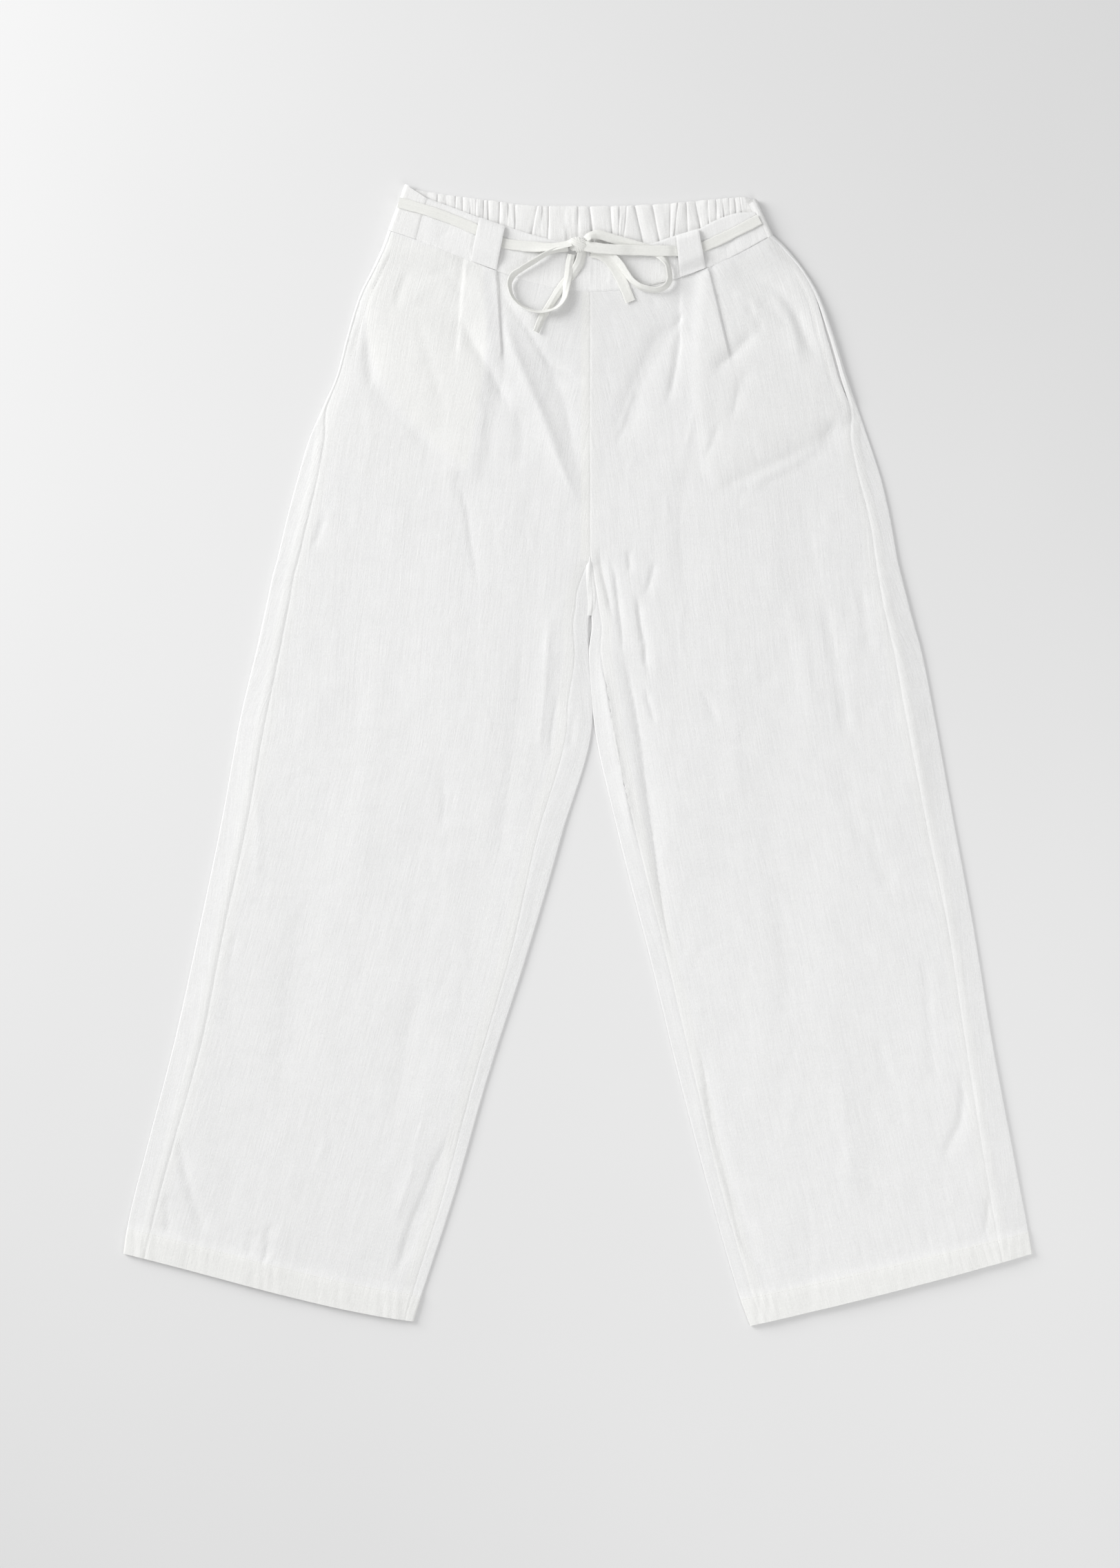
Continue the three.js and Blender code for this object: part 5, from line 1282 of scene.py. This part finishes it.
# Each valley: place at the top edge, place at the bottom edge, how full the tube after it is, and how deep
# the valley is at the top and at the bottom.
GATHERS = [
    (-148.1, -148.7, 0.7, 0.9, 0.3), (-137.3, -139.2, 0.6, 0.5, 0.2), (-127.9, -129.2, 0.7, 0.35, 0.3),
    (-120.3, -121, 0.7, 0.6, 0.4), (-111.5, -112.1, 0.6, 0.8, 0.5), (-105.2, -104.6, 0.7, 0.7, 0.6),
    (-98.3, -98.3, 0.6, 0.3, 0.5), (-92.6, -93.2, 0.7, 0.5, 0.3), (-85.7, -86.9, 0.8, 0.8, 0.7),
    (-81.9, -81.9, 0.8, 0.7, 0.9), (-71.2, -72.5, 0.9, 0.9, 0.8), (-63.6, -64.3, 0.8, 0.4, 0.4),
    (-57.3, -57.3, 0.7, 0.6, 0.3), (-37.2, -44.1, 0.9, 0.8, 1), (-32.8, -33.4, 0.6, 0.3, 0.5),
    (-26.5, -27.7, 0.95, 1, 0.8), (-11.3, -10.1, 0.9, 0.2, 0.1), (0, 0.6, 0.9, 0.45, 0.55),
    (10.7, 15.1, 0.9, 1, 1), (29.6, 32.1, 0.9, 0.7, 0.7), (37.8, 37.2, 0.6, 0.35, 0.6),
    (44.7, 41, 0.8, 0.6, 0.4), (51.7, 60.5, 0.9, 0.9, 1), (68, 75, 0.8, 0.8, 0.9),
    (84.4, 83.8, 0.9, 0.7, 0.9), (91.3, 86.9, 0.7, 0.6, 0.5), (98.9, 100.8, 0.8, 0.9, 0.8),
    (107.1, 114, 0.8, 0.8, 1), (118.4, 120.3, 0.7, 0.5, 0.4), (126, 127.3, 0.8, 0.6, 0.5),
    (132.3, 134.2, 0.7, 0.5, 0.5), (138, 140.5, 0.7, 0.6, 0.3), (143, 146.2, 0.7, 0.8, 0.4),
    (148.1, 151.8, 0.6, 0.5, 0.3), (153.7, 158.8, 0.5, 0.4, 0.2),
]
CASING_COLOUR = (0.915, 0.913, 0.903)
casing_material = linen("gathered_linen", LINEN_SINGLE, CASING_COLOUR)


def along_line(line, distance):
    """Points at distances along a line."""
    run = run_of(line)
    return np.interp(distance, run, line[:, 0]), np.interp(distance, run, line[:, 1])


def back_band_grids():
    """Outer and inner points of the casing: strip, fold, gathered inner face, fold, strip."""
    top_line = path_through(BACK_BAND, 14)
    share = np.concatenate([np.linspace(0, 0.85, 12), np.linspace(0.89, 1, 6)])[:, None]
    lower = ELASTIC_CLOTH / 2
    table = np.array(GATHERS)
    index = np.arange(len(table))
    step = np.linspace(0, len(table) - 1, 12 * (len(table) - 1) + 1)
    top_x = curve_through(index, table[:, 0], step)
    bottom_x = curve_through(index, table[:, 1], step)
    place = step % 1
    full = table[np.minimum(step.astype(int), len(table) - 1), 2]
    gap = np.interp(step, index[:-1] + 0.5, np.diff(table[:, 0]))
    lean = 0.5 + 0.18 * np.sin(np.floor(step) * 2.4)
    warped = place ** (math.log(0.5) / np.log(lean))
    tube = np.sin(np.pi * warped) ** TUBE_FLAT * full * np.minimum(1, (gap / TUBE_WIDE) ** TUBE_NARROWS)
    tube[-1] = 0
    deep_at_top = np.interp(step, index, table[:, 3])[None, :]
    deep_at_bottom = np.interp(step, index, table[:, 4])[None, :]
    deep = lerp(deep_at_bottom, deep_at_top, share)
    tube = 1 - deep * (1 - tube[None, :])
    wrinkled = np.sin(step * 9.1 + 2 * np.sin(step * 1.9))[None, :] * np.sin(share * 6 + step[None, :])
    tube += TUBE_WRINKLE * wrinkled

    def ends(side):
        wrap = BAND_WRAPS[side]
        reach = lerp(wrap["bottom"], wrap["top"], share)

        def from_fold(line, distance):
            return along_line(line, distance if side == "right" else run_of(line)[-1] - distance)

        def strip(distance):
            bottom_x, bottom_y = from_fold(FRONT_SEAM, distance)
            part = distance / reach
            top_x = lerp(wrap["fold"][0], wrap["seam"][0], part)
            top_y = lerp(wrap["fold"][1], wrap["seam"][1], part)
            return lerp(bottom_x, top_x, share), lerp(bottom_y, top_y, share)

        def around(distance):
            bottom_x, bottom_y = from_fold(BACK_SEAM, distance)
            top_x, top_y = from_fold(top_line, distance)
            return lerp(bottom_x, top_x, share), lerp(bottom_y, top_y, share)

        fold_x, fold_y = around(0 * share)
        radius = (band_level(fold_x, fold_y) - lower) / 2
        centre = lower + radius
        count = 9 if side == "right" else 4
        shares = np.concatenate([[-0.9, -0.5], np.arange(count) / count])[None, :]
        tucked = np.minimum(shares, 0)
        distance = lerp(reach, centre, np.maximum(shares, 0)) - BAND_TUCK * tucked
        x, y = strip(distance)
        strip_z = band_level(x, y) + CASING_UNEVEN * washed_waves(x, y, "casing")
        strip_z += BAND_DROP * np.maximum(tucked * 2, -1)
        strip_part = np.stack([x, y, strip_z], -1)
        turn = np.pi * (0.5 - np.arange(TURN_STEPS + 1) / TURN_STEPS)[None, :]
        x, y = around(centre - radius * np.cos(turn))
        z = lower + radius + radius * np.sin(turn)
        return np.concatenate([strip_part, np.stack([x, y, z], -1)], axis=1)

    right = ends("right")
    left = ends("left")[:, ::-1]
    bottom_y = np.interp(bottom_x, BACK_SEAM[:, 0], BACK_SEAM[:, 1])
    top_y = np.interp(top_x, top_line[:, 0], top_line[:, 1])
    x = lerp(bottom_x[None, :], top_x[None, :], share)
    y = lerp(bottom_y[None, :], top_y[None, :] + 1.1 * (tube - 0.8), share)
    wander = TUBE_WANDER * np.sin(share * 5 + np.floor(step)[None, :] * 1.7) * np.sin(np.pi * place)[None, :]
    middle = np.stack([x + wander, y, np.full_like(x, lower)], -1)
    at = np.concatenate([right, middle, left], axis=1)

    blank_right = np.zeros((len(share), right.shape[1]))
    blank_left = np.zeros((len(share), left.shape[1]))
    along_tube = 0.86 + 0.14 * np.sin(share * 7 + np.floor(step)[None, :] * 2.1)
    rounded = np.sqrt(np.clip(1 - ((share - 0.88) / 0.13).clip(0) ** 2, 0, 1))
    inner_rise = np.concatenate([blank_right, tube * along_tube * rounded, blank_left], axis=1)
    outer_valley = np.concatenate([blank_right, 1 - tube, blank_left], axis=1)
    normal = wall_normals(at, True)
    thick = ELASTIC_CLOTH / 2 * lerp(0.45, 1.0, rounded)
    outer = at + normal * (ELASTIC_CLOTH / 2 - VALLEY_THINNED * outer_valley)[:, :, None]
    outer[:, :, 2] = np.maximum(outer[:, :, 2], 0)
    inner = at - normal * (thick + GATHER_RISE * inner_rise)[:, :, None]
    steps = np.linalg.norm(np.diff(at[0], axis=0), axis=1)
    run = np.concatenate([[0], np.cumsum(steps)])
    gathered = np.abs(np.diff(inner_rise[8])) * GATHER_RISE * GATHER_SPREAD
    spread = np.concatenate([[0], np.cumsum(np.hypot(steps, gathered))])
    grain = np.stack([spread[None, :] + 0 * share, 40 * share + 0 * run[None, :]], -1)
    return outer, inner, grain


outer, inner, grain = back_band_grids()
piece = cloth_piece(
    "linen_waistband_back", outer, inner, grain, np.ones(outer.shape[:2]), casing_material
)
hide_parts("waistband_back")


# Belt loops: two wide strips of doubled linen, sewn down at the waist seam and over the band's top edge,
# above each pair of tucks, with room for the tie belt under them.
LOOP_CLOTH = 1.4
LOOP_BACKING = 0.2
LOOP_WIDTH = 24
LOOP_LENGTH = 45
LOOP_ARCH = 2.7
LOOP_UNEVEN = 0.3
LOOP_SIDES_FALL = 0.35
LOOP_TOP_FALL = 0.7
LOOPS = {
    "right": {"share": 0.41, "to_share": 0.537, "top": (-89.5, 490.5), "to_top": (-66.5, 482.5)},
    "left": {"share": 0.37, "to_share": 0.51, "top": (109.5, 480), "to_top": (89.5, 474)},
}

for side in SIDES:
    loop = LOOPS[side]
    row = WAIST_ROWS[side]
    share = np.linspace(0, 1, 44)[:, None]
    across = edge_shares(9)
    seam_x, seam_y = row_point(row, lerp(loop["share"], loop["to_share"], across) * row["length"])
    x = lerp(seam_x, lerp(loop["top"][0], loop["to_top"][0], across), share)
    y = lerp(seam_y + SEAM_GAP, lerp(loop["top"][1], loop["to_top"][1], across), share)
    arch = LOOP_ARCH * smooth(0.05, 0.36, share) * (1 - smooth(0.84, 1.1, share))
    level = band_level(x, y) + BAND_CLOTH / 2 + SEAM_GAP + LOOP_CLOTH / 2 + arch
    level += LOOP_UNEVEN * washed_waves(x, y, "loop")
    level -= LOOP_SIDES_FALL * bell(np.minimum(across, 1 - across) * LOOP_WIDTH, 0.7)
    level -= LOOP_TOP_FALL * bell((1 - share) * LOOP_LENGTH, 0.9)
    at = np.stack([x, y, level], -1)
    normal = wall_normals(at, side == "left")
    grain = np.stack([across * LOOP_WIDTH + 0 * x, share * LOOP_LENGTH + 0 * x], -1)
    piece = cloth_piece(
        "linen_belt_loop_" + side, at + normal * LOOP_CLOTH / 2, at - normal * LOOP_BACKING, grain,
        np.ones_like(x), band_material,
    )
    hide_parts("belt_loop_" + side)


# Tie belt: a narrow strip of the linen with its edges turned in and stitched, which runs from the side folds
# under both belt loops and is tied in a bow, with two ears and two short tails.
TIE_WIDTH = 9.5
TIE_CLOTH = 1.5
TIE_CREASE = 0.4
TIE_HALF = 0.42
TIE_FOLD = 0.12
TIE_THINNEST = 0.08
TIE_COLOUR = (0.865, 0.866, 0.833)
tie_material = linen("tie_linen", LINEN_SINGLE, TIE_COLOUR, relief=0.00018)

# Points on each strip's middle line: x, y, how far its lower edge stands above the cloth, and how far the
# strip is turned on its edge, in degrees.
TIE = {
    "tie_strand_right": [
        (-163.5, 504.5, 0.3, 0), (-137, 497, 0.3, 0), (-113, 488.5, 0.3, 0), (-92, 479.5, 0.3, 0),
        (-80, 473.5, 0.3, 0), (-66, 467, 0.3, 0), (-45, 464.3, 0.5, 4), (-26, 463.4, 1.0, 28),
        (-14, 465, 1.4, 44), (-6.2, 467, 1.6, 40),
    ],
    "tie_strand_left": [
        (6.2, 464, 4.2, 4), (24, 461.5, 4.6, 0), (38, 460.7, 4.2, 0), (52, 460.5, 2.6, 0),
        (72, 460, 2.4, 0), (82, 460, 2.3, 0), (89, 460, 0.9, 0), (95, 460.3, 0.3, 0),
        (103, 461.3, 0.3, 0), (116, 465, 0.3, 0), (135, 473.5, 0.3, 0), (152, 482, 0.3, 0),
        (165.5, 489, 0.3, 0),
    ],
    "tie_ear_right": [
        (-9, 461.5, 1.0, 50), (-18.9, 460.4, 0.3, 56), (-27.5, 457.4, 0.3, 60), (-39.7, 450.2, 0.3, 60),
        (-51.7, 443, 0.3, 56), (-59, 437.8, 0.3, 44), (-62, 430, 0.3, 58), (-60.5, 421.8, 0.3, 66),
        (-54.8, 413.2, 0.3, 70), (-46, 407.4, 0.3, 74), (-34.7, 404.6, 0.8, 76), (-25.2, 406.2, 1.0, 74),
        (-17, 411.2, 0.6, 66), (-12.3, 419.5, 0.8, 48), (-10.4, 429.3, 1.8, 18), (-8.6, 438.8, 2.2, 0),
        (-7.6, 448.2, 2.2, -4), (-6, 457, 2.2, 0),
    ],
    "tie_tail_right": [
        (4, 460, 0.3, 24), (2, 451.4, 0.3, 20), (-3.2, 442, 0.3, 10), (-11.3, 432.5, 0.3, 4),
        (-18.9, 422.4, 0.3, 4), (-27, 409, 0.3, 14), (-32.8, 399, 0.3, 24), (-38, 386.5, 0.3, 34),
    ],
    "tie_ear_left": [
        (7, 470.5, 1.0, 44), (11.5, 474, 0.5, 36), (18, 475, 0.3, 16), (28, 472.5, 0.3, 6),
        (40, 468.8, 0.3, 0),
        (54, 465.3, 0.3, 0), (66, 461.5, 0.3, 0), (76, 455.5, 0.3, 18), (82.5, 446, 0.3, 50),
        (84, 435, 0.3, 50), (80, 427.5, 0.3, 52), (70.6, 424.3, 0.3, 54), (57.5, 427, 0.3, 52),
        (48.5, 433.5, 0.3, 50), (43, 441, 0.8, 44), (36, 450.5, 0.4, 36), (27, 457.5, 0.3, 22),
        (12, 461.5, 0.3, 12),
    ],
    "tie_tail_left": [
        (12, 459.5, 0.3, 0), (21, 457, 0.3, 0), (30, 449.5, 0.3, 0), (38, 437.5, 0.3, 0),
        (43.5, 425.5, 0.3, 0), (48, 414.5, 0.3, 4),
    ],
}
# The share of its width that a strip keeps at its start and its end, where it is creased along its middle.
TIE_FOLDED = {"tie_tail_right": (0.92, 0.74), "tie_ear_right": (0.74, 0.76), "tie_ear_left": (0.96, 0.76)}


def cloth_top(x, y):
    """Top of the cloth under the tie: the waistband above the waist seam, the front panel below it."""
    seam_y = np.interp(x, FRONT_SEAM[:, 0], FRONT_SEAM[:, 1])
    low = np.minimum(y, seam_y)
    panel = np.zeros_like(x)
    for side in SIDES:
        here = side_of(x) == side
        top = leg_lengths(side)[-1]
        if here.any():
            panel[here] = plain_upper(side, x[here], low[here]) + CLOTH / 2
    band = band_level(x, y) + BAND_CLOTH / 2
    above = lerp(np.maximum(panel, band), band, smooth(seam_y, seam_y + 5, y))
    return np.where(y > seam_y - 3, above, panel)


def plain_upper(side, x, y):
    """The front's height without its smallest creases, as the tie feels it."""
    return (
        UPPER + WAIST_LIFT * smooth(WAIST_LIFT_FROM, WAIST_LIFT_TO, y)
        + crease_relief(x, y, FRONT_CREASES[side]) + bag_rise(x, y) + tuck_rise(side, x, y)
    )


def tie_strip(name, points, kept=(1, 1)):
    """A flat strip along a smooth line, turned on its edge and creased where the tables say so."""
    table = np.array(points, float)
    angle = np.radians(table[:, 3])
    half = (TIE_WIDTH * np.sin(angle) + TIE_CLOTH * np.cos(angle)) / 2
    way = np.gradient(table[:, :2], axis=0)
    way /= np.linalg.norm(way, axis=1)[:, None]
    reach = TIE_WIDTH / 2 * np.cos(angle)
    across_x = way[:, 1] * reach
    across_y = -way[:, 0] * reach
    under = [cloth_top(table[:, 0] + across_x * k, table[:, 1] + across_y * k) for k in (-1, 0, 1)]
    height = np.max(under, axis=0) + table[:, 2] + half
    line = path_through(np.column_stack([table[:, :2], height, table[:, 3]]), 9)
    tangent = np.gradient(line[:, :3], axis=0)
    beside = np.column_stack([tangent[:, 1], -tangent[:, 0], np.zeros(len(line))])
    beside /= np.linalg.norm(beside, axis=1)[:, None]
    angle = np.radians(line[:, 3])
    across = beside * np.cos(angle)[:, None] + np.array([0, 0, 1]) * np.sin(angle)[:, None]
    half_shares = np.array([0.05, 0.15, 0.3, 0.4, 0.46, 0.49, 0.5])
    share = np.concatenate([-half_shares[::-1], [0], half_shares])
    run = run_of(line[:, :3])
    width = TIE_WIDTH * (1 + 0.03 * np.sin(run * 0.21) + 0.02 * np.sin(run * 0.57 + 1))
    narrowed = lerp(kept[0], kept[1], smooth(0, 0.7, run / run[-1]))
    raised = np.cross(tangent / np.linalg.norm(tangent, axis=1)[:, None], across)
    raised *= np.where(raised[:, 2:3] < 0, -1, 1)
    peak = TIE_CREASE * np.sqrt(1 - narrowed ** 2)[:, None] * (0.5 - 2 * np.abs(share))[None, :]
    at = line[:, None, :3] + across[:, None, :] * (share[None, :] * (width * narrowed)[:, None])[:, :, None]
    at += raised[:, None, :] * (peak * width[:, None] / 2)[:, :, None]
    normal = wall_normals(at, False)
    fold = TIE_FOLD * bell(np.abs(share) - 0.41, 0.05)
    rounding = np.sqrt(np.clip(1 - (np.abs(share) / 0.5) ** 14, 0.02, 1))
    thick = ((TIE_HALF + fold) * rounding)[None, :] + 0 * run[:, None]
    thick += 0.05 * np.sin(run * 0.9)[:, None] * np.cos(share * 9)[None, :]
    offset = normal * np.maximum(thick, TIE_THINNEST)[:, :, None]
    grain = np.stack([share[None, :] * TIE_WIDTH + 0 * run[:, None], run[:, None] + 0 * share[None, :]], -1)
    return at + offset, at - offset, grain, run[-1]


for name, points in TIE.items():
    outer, inner, grain, length = tie_strip(name, points, TIE_FOLDED.get(name, (1, 1)))
    piece = cloth_piece(
        "linen_" + name, outer, inner, grain, np.ones(outer.shape[:2]), tie_material
    )
    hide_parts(name)


# The knot: both strips of the tie wound once round each other and pulled tight, so that the outer turn runs
# across it from the lower right and its edges show as two soft grooves.
KNOT_WIDE = 18.0
KNOT_DEEP = 14.5
KNOT_HIGH = 6.6
KNOT_CORE = 0.86
KNOT_PUCKER = 0.025
KNOT_WEAVE_SCALE = 30
KNOT_RISE = 0.4
# Each turn of the strips in the knot, the outermost last: its angle, half its width and how far it stands
# out.
KNOT_TURNS = [(math.radians(-60), 0.5, 0.07), (math.radians(10), 0.42, 0.1), (math.radians(52), 0.4, 0.17)]

bpy.ops.mesh.primitive_uv_sphere_add(segments=144, ring_count=96, radius=1)
knot = bpy.context.object
knot.name = "linen_tie_knot"
directions = np.array([v.co[:] for v in knot.data.vertices])
radius = np.full(len(directions), KNOT_CORE)
for turn, half, rise in KNOT_TURNS:
    wound = directions[:, 0] * math.cos(turn) + directions[:, 1] * math.sin(turn)
    around = -directions[:, 0] * math.sin(turn) + directions[:, 1] * math.cos(turn)
    band = smooth(half + 0.05, half - 0.03, np.abs(wound + 0.08 * np.sin(3 * around)))
    puckers = KNOT_PUCKER * np.sin(wound * 26 + 3 * around) + 0.03 * np.abs(around)
    radius = lerp(radius, KNOT_CORE + rise + puckers, band)
level = float(cloth_top(np.array([KNOT_PLACE[0]]), np.array([KNOT_PLACE[1]]))[0])
middle = np.array([KNOT_PLACE[0], KNOT_PLACE[1], level + KNOT_RISE + KNOT_HIGH / 2])
size = np.array([KNOT_WIDE, KNOT_DEEP, KNOT_HIGH]) / 2
placed = (directions * radius[:, None] * size + middle + (SHIFT_X, SHIFT_Y, 0)) * MM
knot.data.vertices.foreach_set("co", placed.ravel())
knot.data.uv_layers[0].name = "grain"
uv_flat = np.zeros(len(knot.data.loops) * 2)
knot.data.uv_layers["grain"].data.foreach_get("uv", uv_flat)
knot.data.uv_layers["grain"].data.foreach_set("uv", uv_flat * KNOT_WEAVE_SCALE * MM)
cream_attribute = knot.data.attributes.new("cream_share", "FLOAT", "POINT")
cream_attribute.data.foreach_set("value", np.ones(len(directions), np.float32))
knot.data.materials.append(tie_material)
bpy.ops.object.shade_smooth()
knot.select_set(False)
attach(knot, "root")
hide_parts("tie_knot")
